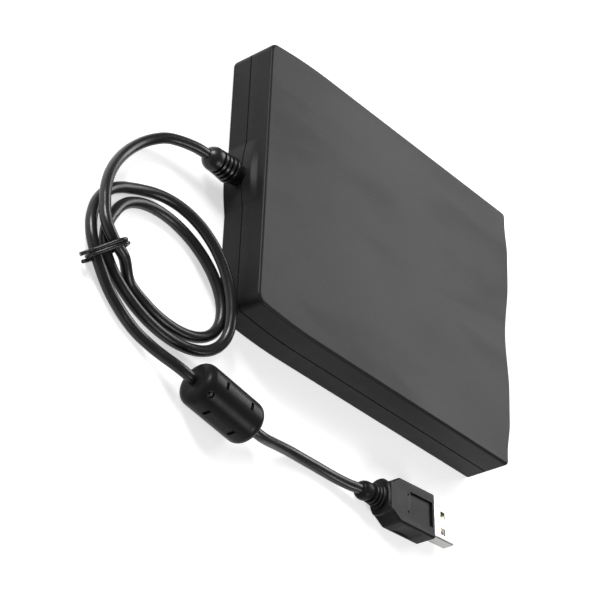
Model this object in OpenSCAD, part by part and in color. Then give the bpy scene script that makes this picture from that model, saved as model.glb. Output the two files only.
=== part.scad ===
// External 3.5-inch floppy disk drive with a fixed, coiled cable.
// Origin: on the table, under the middle of the drive.
// +X is right and -Y is the front as the user sees it, +Z is up. Millimetres.

/* [Housing] */
// Room beside the disk, from its edge to the housing's side
side_room = 6.5; // [6.5:0.25:11]
// Room behind the hinge of the heads' arm, for the stepper and the cable
rear_room = 14; // [14:0.25:19]
// Height of the two closed shells
body_h = 17; // [17:0.25:20]
// Wall thickness of the shells
wall = 1.5; // [1.2:0.1:1.5]
// Height of the seam above the underside
seam_h = 8; // [7.5:0.1:8.5]
// Width and depth of the dark groove that shows at the seam
seam_gap = 0.4; // [0.2:0.05:0.6]
// Rounding of the upper edge
edge_r = 1; // [0.5:0.1:1.4]
// Radius of the rear upright corners
rear_r = 3.5; // [2:0.5:5]
// Radius of the front upright corners
front_r = 1.8; // [1:0.2:2.4]
// Radius of the inward sweep of the sides towards the rear
sweep_r = 180; // [170:10:300]
// Length of that sweep
sweep_len = 29.5; // [20:0.5:30]
// How far the two waves of the front edge stand forward
wave_out = 1.5; // [0.5:0.1:2]
// How far the middle of the front edge lies back
wave_in = 0.55; // [0.2:0.05:1]
// Width of the bulge over the cable exit
bulge_w = 25; // [20:0.5:30]
// How far that bulge stands out of the rear wall
bulge_out = 1.5; // [1:0.1:2]

/* [Feet and screws] */
// Diameter of a rubber foot
foot_d = 8; // [6:0.5:9]
// Height of the drive above the table
foot_h = 0.5; // [0.4:0.1:1]
// Depth of the recess that a foot sits in
foot_sink = 0.5; // [0.3:0.1:0.7]
// Shank diameter of the screws
screw_d = 2.2; // [1.8:0.1:2.4]

/* [Disk path] */
// Width of the disk that the drive takes
disk_w = 90; // [89.6:0.1:90.2]
// Thickness of that disk
disk_t = 3.3; // [3.2:0.1:3.4]
// Height of the slot's lower edge above the table
slot_z = 8.8; // [8.7:0.1:9]
// Height that the slot leaves free above the disk
disk_gap = 0.9; // [0.8:0.1:1]
// How far the cradle comes down on to the hub
drop = 2.2; // [2:0.1:2.3]
// How far the eject button comes out when a disk is in
eject_travel = 5; // [4:0.5:5]

/* [Mechanism] */
// Thickness of the mechanism's steel sheet
sheet = 0.8; // [0.7:0.1:0.8]
// Thickness of the circuit boards
board_t = 0.8; // [0.6:0.1:1]
// Distance of the spindle in front of the drive's middle
spindle_y = 14; // [13:0.5:15]
// Radius of the spindle motor's rotor
rotor_r = 19.5; // [17:0.5:20]
// Diameter of the spindle shaft
shaft_d = 4; // [3:0.5:5]
// Diameter of the head carriage's guide rod
rod_d = 2.2; // [2:0.1:2.3]
// Diameter of the lead screw
lead_d = 3; // [2.5:0.25:3.5]
// Diameter of the stepper motor
stepper_d = 10; // [8:0.5:10]
// Travel of the heads from the outer to the inner track
head_travel = 14.8; // [13:0.1:14.8]
// Diameter of the door's hinge pin
door_pin_d = 1.2; // [1:0.1:1.4]
// Diameter of the upper arm's hinge pin
arm_pin_d = 1.6; // [1.2:0.1:1.8]

/* [Cable and plug] */
// Diameter of the cable
cord_d = 3.6; // [3.4:0.1:3.6]
// Largest diameter of the strain relief, near the drive
relief_d = 9.2; // [8:0.1:9.4]
// Length of the strain relief outside the drive
relief_len = 15; // [14:0.5:15]
// Diameter of the ferrite bead's housing
bead_d = 14.4; // [12:0.1:14.4]
// Length of the ferrite bead's housing
bead_len = 26; // [24:0.5:26]
// Width of the plug's housing
plug_w = 15.8; // [15:0.1:16]
// Height of the plug's housing
plug_h = 8; // [7.6:0.1:8]
// Diameter of the tie's coated wire
tie_d = 1.2; // [0.9:0.1:1.2]

/* [Hidden] */
$fn = 48;

// The housing goes round the disk, the mechanism and the room beside and behind them
head_y = 25.5;
arm_reach = 26;
arm_y = head_y + arm_reach;
body_w = disk_w + 2 * side_room;
body_d = 2 * (arm_y + rear_room);

// Clearances: moulded to moulded, sheet to sheet, shaft to bore
fit_gap = 0.15;
slide_gap = 0.2;
bore_gap = 0.05;
lip_gap = 0.1;

// Heights in the housing
z_under = foot_h;
z_seam = z_under + seam_h;
z_top = z_under + body_h;
z_floor = z_under + wall;
z_roof = z_top - wall;
bottom_r = 0.8;
ledge = seam_gap / 2;

// Front opening of the shells, which the bezel fills
front_w = disk_w + 4.4;
front_z = [z_under + 2.9, z_under + 14.4];
slot_w = disk_w + 3.2;
bezel_sink = 0.4;
bezel_t = 2.2;
flange_t = 1.1;
flange_y = -body_d / 2 + wall + lip_gap + flange_t;

// Mechanism, from the disk outwards
cradle_gap = 0.6;
cradle_t = 0.6;
cradle_in = disk_w / 2 + cradle_gap;
cradle_out = cradle_in + cradle_t;
wing_in = cradle_out + 2 * slide_gap;
wing_out = wing_in + sheet;
side_in = wing_out + slide_gap;
side_out = side_in + sheet;

// Heights of the mechanism, from the floor of the housing and from the slot
boss_h = 0.6;
z_plate = z_floor + boss_h;
z_deck = z_plate + sheet;
z_board = z_deck + board_t;
z_slot_top = slot_z + disk_t + disk_gap;
z_cradle = z_slot_top + cradle_t;
z_slide = z_cradle + 0.6;
z_side = z_slide + sheet + slide_gap;
lid_t = 0.5;

// Places along the depth
front_y = -body_d / 2;
rear_y = body_d / 2;
chassis_y = [front_y + 5.9, arm_y + 4.5];
side_end = 44;
door_y = front_y + 4.6;
door_z = z_slot_top + 1;
door_t = 0.9;
barrel_r = 0.95;
cradle_y = [front_y + 10.5, 33];
slide_y = [front_y + 15.8, 30];

// Places of fasteners and feet
case_screw_at = [for (s = [-1, 1]) [s * (body_w / 2 - 8.5), rear_y - 6]];
chassis_screw_at = [for (s = [-1, 1], y = [front_y + 24, 25]) [s * (side_out - 4.4), y]];
foot_at = [for (x = [-1, 1], y = [-1, 1]) [x * (body_w / 2 - 11.5), y * (body_d / 2 - 16.5)]];
head_d = 4.2;
head_h = 1.2;
boss_d = 6.4;

// Cradle pins and the slots that guide them
cradle_pin_r = 1;
cradle_pin_y = [-38, 18];
cradle_pin_z = slot_z + 2.2; // middle of the cradle's side wall
pin_gap = 0.1;
pin_out = side_out + 0.7;

// Eject button
button_x = [30, 42];
button_z = [z_under + 4.1, z_under + 7.1];
button_y = [front_y - 1.4, front_y + 5.1];
tab_z = z_under + 4.4;
tab_x = [33, 39];

// Activity light
light_at = [-36, z_under + 5.6];
light_w = 4;
light_h = 1.6;

// Spindle
rotor_top = slot_z - drop - 0.3;
hub_r = 12.5;

// Heads, carriage and lead screw
arm_z = slot_z + 4.4;
arm_w = 13.6;
rod_x = -11;
rod_z = z_floor + 2.6;
lead_x = 17;
lead_z = slot_z - 0.3;
carriage_front = arm_y - 20.5;
rod_front = carriage_front - head_travel - 2.6;
lead_y = [arm_y - head_travel - 3.5, arm_y - 0.2];
carriage_z = z_floor + 1.6;
under_disk = slot_z - drop - 0.4;

// Cable exit
exit_x = -0.5; // the relief stands a little beside the bulge's middle
exit_z = 7;
neck_r = 3.4;
exit_y = rear_y + bulge_out;

// Places of the bead and the plug, and the way they point (degrees from -Y)
bead_at = [-80.6, 80.5, bead_d / 2];
bead_turn = -10.3;
plug_at = [-81.3, -0.5, plug_h / 2];
plug_turn = 3.4;
plug_len = 36;
shell_len = 12;
shell_w = 12;
shell_h = 4.5;
shell_t = 0.3;
shell_sunk = 3;

// Coil: two loops round a tilted ellipse, drawn together on the side of the tie
cord_z = cord_d / 2;
coil_at = [-45.2, 89.4];
coil_a = 25;
coil_b = 17.5;
coil_tilt = 74;
coil_from = 70;
coil_turns = 2;
coil_pitch = 4.25;
coil_rings = 30;
coil_spread = 3.5;
coil_last = 3.2;
tie_turn = 36;
tie_aim = 218;
tie_lift = 1.8;
tie_gap = 0.5;
tie_reach = 42;

// Where the coil meets the drive it climbs and leans against the rear wall:
// how far the inner and the outer loop rise, and how far they move per mm of rise
rise_in = 2.8;
rise_out = 6.9;
lean = [-0.87, 1.03];

// Routes of the free stretches of the cable, chosen by hand
lead_route = [
    [-0.5, 85, 6.9], [-0.7, 89, 6.3], [-1.2, 93, 5.5], [-2.2, 97, 4.6], [-4.1, 100.6, 3.6],
    [-6.6, 104, 2.7], [-9.9, 107.4, 2.2], [-14.2, 111, 2.1], [-19.4, 114.6, 2.7],
    [-25, 117.8, 3.8], [-30.8, 120.2, 5], [-35.7, 121.4, 5.9], [-40.1, 121.7, 6.5],
    [-44.2, 121.7, 7.1], [-47.8, 120.8, 7.6], [-50.6, 119, 7.9], [-52.4, 116.6, 7.7],
    [-53.3, 114, 7.1], [-53.9, 111.8, 6.2], [-54.6, 110, 5.1], [-55.4, 108.4, 4],
    [-56.3, 106.9, 3], [-57.2, 105.4, 2.3], [-58, 103.9, 1.9]
];
run_route = [
    [-70.4, 103.4, 1.8], [-72.2, 99.6, 1.9], [-73.7, 95.9, 2.4], [-75.4, 92.8, 3.5],
    [-77.1, 90.2, 5], [-78.5, 87.6, 6.3], [-79.6, 84.6, 7]
];
tail_route = [
    [-85.8, 51, 7], [-85.3, 46.5, 6], [-84.1, 41.6, 4.7], [-83, 36.7, 3.6], [-82, 31.2, 2.6],
    [-81.2, 24.6, 2], [-80.5, 18, 1.8], [-80.2, 12.2, 1.9], [-80.4, 7.2, 2.5],
    [-80.9, 3, 3.4]
];

// ---------------------------------------------------------------- functions

function unit(v) = v / norm(v);
function level(v) = unit([v[0], v[1], 0]);
function smooth(t) = let (u = min(max(t, 0), 1)) u * u * (3 - 2 * u);
function hump(t) = abs(t) < 1 ? 0.5 + 0.5 * cos(180 * t) : 0;
function turn_z(p, a) = [p[0] * cos(a) - p[1] * sin(a), p[0] * sin(a) + p[1] * cos(a)];

// Front edge: two waves with a scoop between them
function wave(x) = let (a = abs(x))
    a < 22 ? -wave_in + (wave_out + wave_in) * smooth(a / 22)
           : wave_out * (1 - smooth((a - 34) / 13));

// Half width of the housing at a depth y
function half_w(y) = let (s = max(y - (rear_y - sweep_len), 0))
    body_w / 2 - (sweep_r - sqrt(sweep_r * sweep_r - s * s));

// Bulge over the cable exit
function bulge(x) = abs(x) < bulge_w / 2 ? bulge_out * cos(180 * x / bulge_w) : 0;

// Right half of the housing's outline, drawn in by d, with k times the bulge
function half_outline(d, k) =
    let (
        rf = max(front_r - d, 0.3),
        rr = max(rear_r - d, 0.3),
        xf = body_w / 2 - d - rf,
        yr = rear_y - d - rr,
        xr = half_w(yr) - d - rr,
        ys = rear_y - sweep_len
    )
    concat(
        [for (i = [0:16]) let (x = xf * i / 16) [x, front_y - wave(x) + d]],
        [for (a = [-67.5:22.5:0]) [xf + rf * cos(a), front_y + d + rf + rf * sin(a)]],
        [for (i = [0:7]) let (y = ys + (yr - ys) * i / 8) [half_w(y) - d, y]],
        [for (a = [9:16.2:90]) [xr + rr * cos(a), yr + rr * sin(a)]],
        [for (i = [0:6]) let (x = bulge_w / 2 * (1 - i / 6)) [x, rear_y - d + k * bulge(x)]]
    );

function outline(d, k = 0) =
    let (h = half_outline(d, k), n = len(h))
    concat(h, [for (i = [n - 2:-1:1]) [-h[i][0], h[i][1]]]);

// Height, inset and bulge of the shells' outer skin, from the bottom up
bottom_levels = [
    for (a = [90:-30:0]) [z_under + bottom_r * (1 - sin(a)), bottom_r * (1 - cos(a)), 0.9]
];
bulge_levels = [[3.5, 1], [3.8, 0.93], [5.6, 0.07], [5.9, 0]];

// Coil
function coil_offset(t) =
    t < 406 ? coil_pitch * smooth((t - 350) / 56)
            : coil_pitch + coil_spread * hump((t - 615) / 70)
              + coil_pitch * smooth((t - 670) / 80) + coil_last * smooth((t - 755) / 50);
function coil_lift(t) =
    tie_lift * (hump((t - 360 - tie_turn) / tie_reach) + hump((t - 720 - tie_turn) / tie_reach))
    + rise_in * hump((t - 198) / 95) + rise_out * hump((t - 568) / 115);
function coil_point(t) =
    let (
        n = unit([coil_b * cos(t), coil_a * sin(t)]),
        p = turn_z([coil_a * cos(t), coil_b * sin(t)] + coil_offset(t) * n, coil_tilt),
        h = coil_lift(t)
    )
    [coil_at[0] + p[0] + h * lean[0], coil_at[1] + p[1] + h * lean[1], cord_z + h];
function coil_heading(t) = unit(coil_point(t + 0.5) - coil_point(t - 0.5));

coil_to = coil_from + 360 * coil_turns;
coil_step = 360 / coil_rings;
coil_in = level(coil_heading(coil_from + coil_step * 0.7));
coil_out = level(coil_heading(coil_to - coil_step * 0.7));
coil_start = coil_point(coil_from + coil_step * 0.7) - cord_d * coil_in;
coil_end = coil_point(coil_to - coil_step * 0.7) + cord_d * coil_out;
coil_path = concat(
    [coil_start, coil_start + 0.7 * cord_d * coil_in],
    [for (i = [1:coil_rings * coil_turns - 1]) coil_point(coil_from + coil_step * i)],
    [coil_end - 0.7 * cord_d * coil_out, coil_end]
);

// Least gap between two stretches of the coil that lie apart along it
function self_gap(p, d, apart) = min([
    for (i = [0:len(p) - 1 - apart], j = [i + apart:len(p) - 1]) norm(p[i] - p[j])
]) - d;
echo(coil_gap = self_gap(coil_path, cord_d, 4));
echo(coil_start = coil_start, coil_in = coil_in, coil_end = coil_end, coil_out = coil_out);

bead_dir = [sin(bead_turn), -cos(bead_turn), 0];
bead_end = bead_at + bead_len * bead_dir;
plug_dir = [sin(plug_turn), -cos(plug_turn), 0];
lead_path = concat([[exit_x, exit_y + relief_len, exit_z]], lead_route, [coil_start]);
run_path = concat([coil_end], run_route, [bead_at]);
tail_path = concat([bead_end], tail_route, [plug_at]);

// Tie: a wire laid twice round three strands
tie_mid = coil_point(360 + tie_turn);
tie_ahead = [cos(tie_aim), sin(tie_aim), 0];
tie_side = unit([tie_ahead[1], -tie_ahead[0], 0]);
tie_off = cord_d / 2 + tie_d / 2 + tie_gap;
strand_a = [-0.4, tie_mid[2]];
strand_b = [(coil_point(720 + tie_turn) - tie_mid) * tie_side, tie_mid[2]];
strand_c = [-1.1, 7.72];
strand_slant = [-0.45, -0.14]; // how far the upper strand moves per mm along the tie
function strand_reach(s, a) = s[0] * cos(a) + s[1] * sin(a);
function tie_corner(a, s) = let (c = strand_c + s * strand_slant)
    strand_reach(c, a) > max(strand_reach(strand_a, a), strand_reach(strand_b, a)) ? c
    : strand_reach(strand_a, a) > strand_reach(strand_b, a) ? strand_a : strand_b;
function tie_point(a, s) =
    let (q = tie_corner(a, s) + tie_off * [cos(a), sin(a)])
    [tie_mid[0], tie_mid[1], 0] + q[0] * tie_side + [0, 0, q[1]] + s * tie_ahead;
tie_path = concat(
    [tie_point(0, -1.1) + 2.6 * tie_side - [0, 0, 1.2]],
    [for (a = [10:20:670]) tie_point(a, -1.1 + 2.2 * (a - 10) / 660)],
    [tie_point(0, 1.1) + 2.6 * tie_side - [0, 0, 1.2]]
);

// ---------------------------------------------------------------- helpers

module block(lo, hi) {
    translate(lo) cube(hi - lo);
}

module at_each(places) {
    for (p = places) translate(p) children();
}

// Solid through rings of points, all of one length, from the lowest to the highest
module loft(rings) {
    n = len(rings[0]);
    polyhedron(
        points = [for (r = rings) each r],
        faces = concat(
            [[for (i = [0:n - 1]) i]],
            [for (k = [0:len(rings) - 2], i = [0:n - 1])
                let (a = k * n + i, b = k * n + (i + 1) % n)
                each [[a, a + n, b + n], [a, b + n, b]]],
            [[for (i = [n - 1:-1:0]) (len(rings) - 1) * n + i]]
        )
    );
}

// Tube of a diameter d along a path, with given headings at its two ends
module tube(path, d, from, to, sides = 8, up = [0, 0, 1]) {
    last = len(path) - 1;
    heading = [for (i = [0:last]) i == 0 ? from : i == last ? to : unit(path[i + 1] - path[i - 1])];
    rings = [for (i = [0:last])
        let (s = unit(cross(heading[i], up)), u = cross(s, heading[i]))
        [for (j = [0:sides - 1]) let (a = 360 * j / sides) path[i] + d / 2 * (cos(a) * s + sin(a) * u)]];
    polyhedron(
        points = [for (r = rings) each r],
        faces = concat(
            [[for (j = [sides - 1:-1:0]) j]],
            [for (k = [0:last - 1], j = [0:sides - 1])
                let (a = k * sides + j, b = k * sides + (j + 1) % sides)
                each [[a, b, b + sides], [a, b + sides, a + sides]]],
            [[for (j = [0:sides - 1]) last * sides + j]]
        )
    );
}

module skin(levels) {
    loft([for (l = levels) [for (p = outline(l[1], l[2])) [p[0], p[1], l[0]]]]);
}

module slice(d, z0, z1) {
    translate([0, 0, z0]) linear_extrude(z1 - z0) polygon(outline(d));
}

// Hole or pin along X
module along_x(x0, x1, r) {
    translate([x0, 0, 0]) rotate([0, 90, 0]) cylinder(h = x1 - x0, r = r);
}

module along_y(y0, y1, r) {
    translate([0, y0, 0]) rotate([-90, 0, 0]) cylinder(h = y1 - y0, r = r);
}

// ---------------------------------------------------------------- housing

module front_opening() {
    block([-front_w / 2, front_y - 5, front_z[0]], [front_w / 2, flange_y, front_z[1]]);
}

module relief_hole() {
    translate([exit_x, 0, exit_z]) along_y(rear_y - wall - 1, rear_y + 5, neck_r + lip_gap);
}

module top_cover() {
    color("#2b2b2d") {
        difference() {
            skin(concat(
                [[z_seam, seam_gap, 1], [z_seam + ledge, seam_gap, 1], [z_seam + ledge, 0, 1]],
                [for (b = bulge_levels) [z_seam + b[0], 0, b[1]]],
                [for (a = [0:22.5:90]) [z_top - edge_r * (1 - sin(a)), edge_r * (1 - cos(a)), 0]]
            ));
            slice(wall, z_seam - 1, z_roof);
            front_opening();
            relief_hole();
        }
        at_each(case_screw_at) top_boss();
        for (s = [-1, 1], y = [-30, 0]) roof_rib(s, y);
    }
}

module top_boss() {
    difference() {
        translate([0, 0, z_seam]) cylinder(h = z_roof - z_seam + 0.1, d = boss_d - 1);
        translate([0, 0, z_seam - 1]) cylinder(h = 6.5, d = screw_d + 0.06);
    }
}

// Rib that holds the mechanism's lid down
module roof_rib(s, y) {
    translate([s * (side_in + sheet / 2), y, 0])
        block([-0.6, -8, z_side + lid_t + lip_gap], [0.6, 8, z_roof + 0.1]);
}

module bottom_cover() {
    color("#262628") {
        difference() {
            skin(concat(
                bottom_levels,
                [[z_seam - ledge, 0, 1], [z_seam - ledge, seam_gap, 1], [z_seam, seam_gap, 1]]
            ));
            slice(wall, z_floor, z_seam + 1);
            front_opening();
            relief_hole();
            at_each(foot_at) translate([0, 0, z_under - 1]) cylinder(h = 1 + foot_sink, d = foot_d + 0.1);
            at_each(case_screw_at) screw_hole(0.6);
            at_each(chassis_screw_at) screw_hole(0);
        }
        seam_lip();
        at_each(case_screw_at) case_boss();
        at_each(chassis_screw_at) chassis_boss();
        for (x = [-36, -20, 20, 36], y = [chassis_y[0] + 4.6, chassis_y[1] - 6]) plate_rest(x, y);
    }
}

module screw_hole(deeper) {
    translate([0, 0, z_under - 1]) cylinder(h = 1 + head_h + deeper, d = head_d + 0.3);
    translate([0, 0, z_under]) cylinder(h = wall + 1, d = screw_d + 2 * bore_gap);
}

module case_boss() {
    difference() {
        translate([0, 0, z_floor - 0.1]) cylinder(h = z_seam - z_floor + 0.1, d = boss_d);
        screw_hole(0.6);
        translate([0, 0, z_under]) cylinder(h = seam_h + 1, d = screw_d + 2 * bore_gap);
    }
}

module chassis_boss() {
    difference() {
        translate([0, 0, z_floor - 0.1]) cylinder(h = boss_h + 0.1, d = boss_d);
        translate([0, 0, z_floor - 1]) cylinder(h = 4, d = screw_d + 2 * bore_gap);
    }
}

module plate_rest(x, y) {
    translate([x, y, z_floor - 0.1]) cylinder(h = boss_h + 0.1, d = 3);
}

// Tongue that stands up inside the top cover
module seam_lip() {
    difference() {
        slice(wall + lip_gap, z_seam - 1.4, z_seam + 1.2);
        slice(wall + lip_gap + 0.6, z_seam - 2, z_seam + 2);
        block([-60, front_y - 5, 0], [60, chassis_y[0] + 4, 20]);
        block([-6.5, rear_y - 10, 0], [6.5, rear_y + 5, 20]);
    }
    difference() {
        slice(wall - 0.1, z_seam - 1.4, z_seam - 0.9);
        slice(wall + lip_gap + 0.3, z_seam - 2, z_seam + 2);
        block([-60, front_y - 5, 0], [60, chassis_y[0] + 4, 20]);
        block([-6.5, rear_y - 10, 0], [6.5, rear_y + 5, 20]);
    }
}

// A plate that follows the front edge: from inset a to inset b, half width w
module front_plate(a, b, w, z0, z1) {
    xs = [for (i = [-14:14]) w * i / 14];
    translate([0, 0, z0]) linear_extrude(z1 - z0) polygon(concat(
        [for (x = xs) [x, front_y - wave(x) + a]],
        [for (i = [len(xs) - 1:-1:0]) [xs[i], front_y - wave(xs[i]) + b]]
    ));
}

module front_bezel() {
    color("#202022") {
        difference() {
            union() {
                front_plate(bezel_sink, bezel_sink + bezel_t, front_w / 2 - fit_gap,
                    front_z[0] + fit_gap, front_z[1] - fit_gap);
                front_plate(wall + lip_gap, wall + lip_gap + flange_t, body_w / 2 - wall - 0.5,
                    z_floor + fit_gap, z_roof - fit_gap);
            }
            block([-slot_w / 2, front_y - 5, slot_z], [slot_w / 2, front_y + 8, z_slot_top]);
            finger_scoop();
            block([button_x[0] - fit_gap, front_y - 5, button_z[0] - fit_gap],
                [button_x[1] + fit_gap, front_y + 8, button_z[1] + fit_gap]);
            light_hole(lip_gap);
        }
        for (s = [-1, 1]) door_ear(s);
    }
}

// Hollow in the lower lip of the slot, where a finger pushes the disk home
module finger_scoop() {
    translate([0, front_y + wave_in - 12.6, slot_z - 2]) cylinder(h = z_slot_top - slot_z + 2, r = 14);
}

module light_hole(gap) {
    translate([light_at[0], 0, light_at[1]])
        block([-light_w / 2 - gap, front_y - 5, -light_h / 2 - gap],
            [light_w / 2 + gap, front_y + 6, light_h / 2 + gap]);
}

ear_x = [slot_w / 2 + 0.3, slot_w / 2 + 1.5];

module door_ear(s) {
    x = s > 0 ? ear_x : [-ear_x[1], -ear_x[0]];
    difference() {
        block([x[0], flange_y - 0.3, door_z - 1], [x[1], door_y + 1, z_roof - fit_gap - 0.2]);
        translate([0, door_y, door_z]) along_x(x[0] - 1, x[1] + 1, door_pin_d / 2 + 0.01);
    }
}

module activity_light() {
    color("#9bd29b") translate([light_at[0], 0, light_at[1]])
        block([-light_w / 2, front_y - 0.9, -light_h / 2], [light_w / 2, front_y + 4.6, light_h / 2]);
}

// ---------------------------------------------------------------- door and button

spring_x = [30, 35];

module disk_door() {
    w = slot_w / 2 - 0.4;
    color("#1d1d1f") difference() {
        union() {
            block([-w, door_y - door_t / 2, slot_z - 0.2], [w, door_y + door_t / 2, door_z]);
            translate([0, door_y, door_z]) along_x(-w, w, barrel_r);
        }
        translate([0, door_y, door_z]) along_x(-w - 1, w + 1, door_pin_d / 2 + bore_gap);
        block([spring_x[0], door_y - 2, door_z - 1.7], [spring_x[1], door_y + 2, door_z + 2]);
    }
}

module door_hinge_pin() {
    color("silver") translate([0, door_y, door_z]) along_x(-ear_x[1], ear_x[1], door_pin_d / 2);
}

// Coil spring on the hinge pin, one leg against the door and one against the bezel
module door_spring() {
    r = door_pin_d / 2 + 0.35;
    turns = 4;
    x0 = spring_x[0] + 0.6;
    x1 = spring_x[1] - 0.6;
    path = [for (i = [0:12 * turns])
        let (a = 30 * i + 90) [x0 + (x1 - x0) * i / (12 * turns), door_y + r * cos(a), door_z + r * sin(a)]];
    color("silver") tube(path, 0.3, unit(path[1] - path[0]),
        unit(path[12 * turns] - path[12 * turns - 1]), 6, [1, 0, 0]);
}

module eject_button() {
    color("#303033") difference() {
        union() {
            block([button_x[0], button_y[0] + 0.4, button_z[0]], [button_x[1], button_y[1], button_z[1]]);
            block([button_x[0] + 0.4, button_y[0], button_z[0] + 0.4],
                [button_x[1] - 0.4, button_y[0] + 1, button_z[1] - 0.4]);
        }
        block([tab_x[0] - bore_gap, button_y[1] - 3.6, tab_z - bore_gap],
            [tab_x[1] + bore_gap, button_y[1] + 1, tab_z + sheet + bore_gap]);
    }
}

// Slanted slot that carries a cradle pin down as the slide moves forward
module ramp(x0, x1, y) {
    r = cradle_pin_r + pin_gap;
    len = norm([eject_travel, drop]);
    translate([0, y, cradle_pin_z]) {
        along_x(x0, x1, r);
        translate([0, eject_travel, -drop]) along_x(x0, x1, r);
        rotate([-atan2(drop, eject_travel), 0, 0]) block([x0, 0, -r], [x1, len, r]);
    }
}

module slide_plate() {
    foot_y = front_y + 8.5;
    color("#a9adb0") difference() {
        union() {
            block([-wing_out, slide_y[0], z_slide], [wing_out, -22, z_slide + sheet]);
            for (s = [0, 1]) mirror([s, 0, 0]) {
                block([34, -22.1, z_slide], [wing_out, slide_y[1], z_slide + sheet]);
                block([wing_in, slide_y[0], z_under + 6.3], [wing_out, slide_y[1], z_slide + 0.1]);
            }
            block([wing_in, foot_y, tab_z], [wing_out, slide_y[0] + 8, z_under + 7.9]);
            block([tab_x[0] - 3, foot_y, tab_z], [wing_out, foot_y + 5, tab_z + sheet]);
            block([tab_x[0], button_y[1] - 3.4, tab_z], [tab_x[1], foot_y + 0.1, tab_z + sheet]);
        }
        for (y = cradle_pin_y, s = [0, 1]) mirror([s, 0, 0]) ramp(wing_in - 1, wing_out + 1, y);
        for (s = [-1, 1]) translate([s * 22, -36, z_slide - 1]) cylinder(h = sheet + 2, d = 14);
    }
}

// ---------------------------------------------------------------- feet and screws

module foot(i) {
    color("#151515") translate([foot_at[i][0], foot_at[i][1], 0]) rotate_extrude() polygon([
        [0, 0], [foot_d / 2 - 0.3, 0], [foot_d / 2, 0.3],
        [foot_d / 2, foot_h + foot_sink], [0, foot_h + foot_sink]
    ]);
}

module screw(len) {
    difference() {
        union() {
            cylinder(h = head_h, d = head_d);
            cylinder(h = len, d = screw_d);
        }
        for (a = [0, 90]) rotate([0, 0, a]) block([-1.2, -0.25, -0.1], [1.2, 0.25, 0.6]);
    }
}

module case_screws() {
    color("#8a8d90") at_each(case_screw_at) translate([0, 0, z_under + 0.6]) screw(seam_h + 4.5);
}

module chassis_screws() {
    color("#8a8d90") at_each(chassis_screw_at)
        translate([0, 0, z_under]) screw(z_deck - z_under + 0.5);
}

// ---------------------------------------------------------------- chassis

module chassis() {
    color("#b4b7ba") {
        difference() {
            union() {
                block([-side_out, chassis_y[0], z_plate], [side_out, side_end, z_deck]);
                block([9.5 - side_out, side_end - 1, z_plate], [side_out - 9.5, chassis_y[1], z_deck]);
                for (s = [0, 1]) mirror([s, 0, 0])
                    block([side_in, chassis_y[0], z_plate], [side_out, side_end, z_side]);
            }
            block([-15.5, rod_front + 1.4, 0], [15.5, arm_y + 2.5, z_deck + 1]);
            for (y = cradle_pin_y, s = [0, 1]) mirror([s, 0, 0]) pin_slot(y);
            at_each(chassis_screw_at) translate([0, 0, z_plate - 1])
                cylinder(h = sheet + 2, d = screw_d + 0.04);
            translate([0, -spindle_y, z_plate - 1]) cylinder(h = sheet + 2, d = shaft_d + 1);
        }
        rod_holder(rod_front);
        rod_holder(arm_y + 3.1);
        lead_bearing();
    }
}

// Upright slot in the chassis side, which keeps a cradle pin from moving along the depth
module pin_slot(y) {
    r = cradle_pin_r + pin_gap;
    for (z = [cradle_pin_z, cradle_pin_z - drop]) translate([0, y, z]) along_x(side_in - 1, side_out + 1, r);
    block([side_in - 1, y - r, cradle_pin_z - drop], [side_out + 1, y + r, cradle_pin_z]);
}

module rod_holder(y) {
    difference() {
        block([rod_x - 2.4, y, z_plate], [rod_x + 2.4, y + 1, rod_z + rod_d / 2 + 0.5]);
        translate([rod_x, 0, rod_z]) along_y(y - 1, y + 2, rod_d / 2 + 0.01);
    }
}

module lead_bearing() {
    difference() {
        block([lead_x - 1.4, lead_y[0] + 0.2, z_plate], [lead_x + 3, lead_y[0] + 1, lead_z + 2]);
        translate([lead_x, 0, lead_z]) along_y(lead_y[0] - 1, lead_y[0] + 2, 1 + bore_gap);
    }
}

module mechanism_cover() {
    color("#c3c6c9") difference() {
        block([-side_out, front_y + 16, z_side], [side_out, side_end, z_side + lid_t]);
        translate([0, -spindle_y, z_side - 1]) cylinder(h = 3, r = 9);
        for (s = [-1, 1], y = [-38, 20]) translate([s * 28, y, z_side - 1]) cylinder(h = 3, d = 12);
        block([-12, 30, z_side - 1], [12, 50, z_side + 2]);
    }
}

// ---------------------------------------------------------------- cradle

module disk_cradle() {
    lip_w = 6;
    color("#cfd2d4") difference() {
        union() {
            block([-cradle_out, cradle_y[0], z_slot_top], [cradle_out, cradle_y[1], z_cradle]);
            for (s = [0, 1]) mirror([s, 0, 0]) {
                block([cradle_in, cradle_y[0], slot_z - 0.5], [cradle_out, cradle_y[1], z_cradle]);
                block([cradle_in - lip_w, cradle_y[0], slot_z - 0.5], [cradle_out, cradle_y[1], slot_z]);
                for (y = cradle_pin_y) translate([0, y, cradle_pin_z])
                    along_x(cradle_in + 0.1, pin_out, cradle_pin_r);
            }
        }
        block([-arm_w / 2 - 2.4, 2, slot_z - 1], [arm_w / 2 + 2.4, cradle_y[1] + 1, z_cradle + 1]);
        translate([0, -spindle_y - 14, z_slot_top - 1]) cylinder(h = 3, r = 9);
    }
}

// ---------------------------------------------------------------- spindle

module motor_board() {
    color("#1f5a3a") difference() {
        union() {
            block([-34, -46, z_deck], [34, 8, z_board]);
            block([-39, -54, z_deck], [39, -43, z_board]);
        }
        translate([0, -spindle_y, z_deck - 1]) cylinder(h = 3, d = shaft_d + 5.1);
    }
}

module stator_coils() {
    color("#b5763a") translate([0, -spindle_y, z_board]) {
        difference() {
            cylinder(h = 1, r = 8);
            translate([0, 0, -1]) cylinder(h = 3, r = 6.2);
        }
        for (i = [0:8]) rotate([0, 0, 40 * i]) {
            block([7.5, -0.9, 0], [rotor_r - 2.8, 0.9, 1]);
            block([9, -2.1, 0], [rotor_r - 4.4, 2.1, 1.3]);
        }
    }
}

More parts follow.
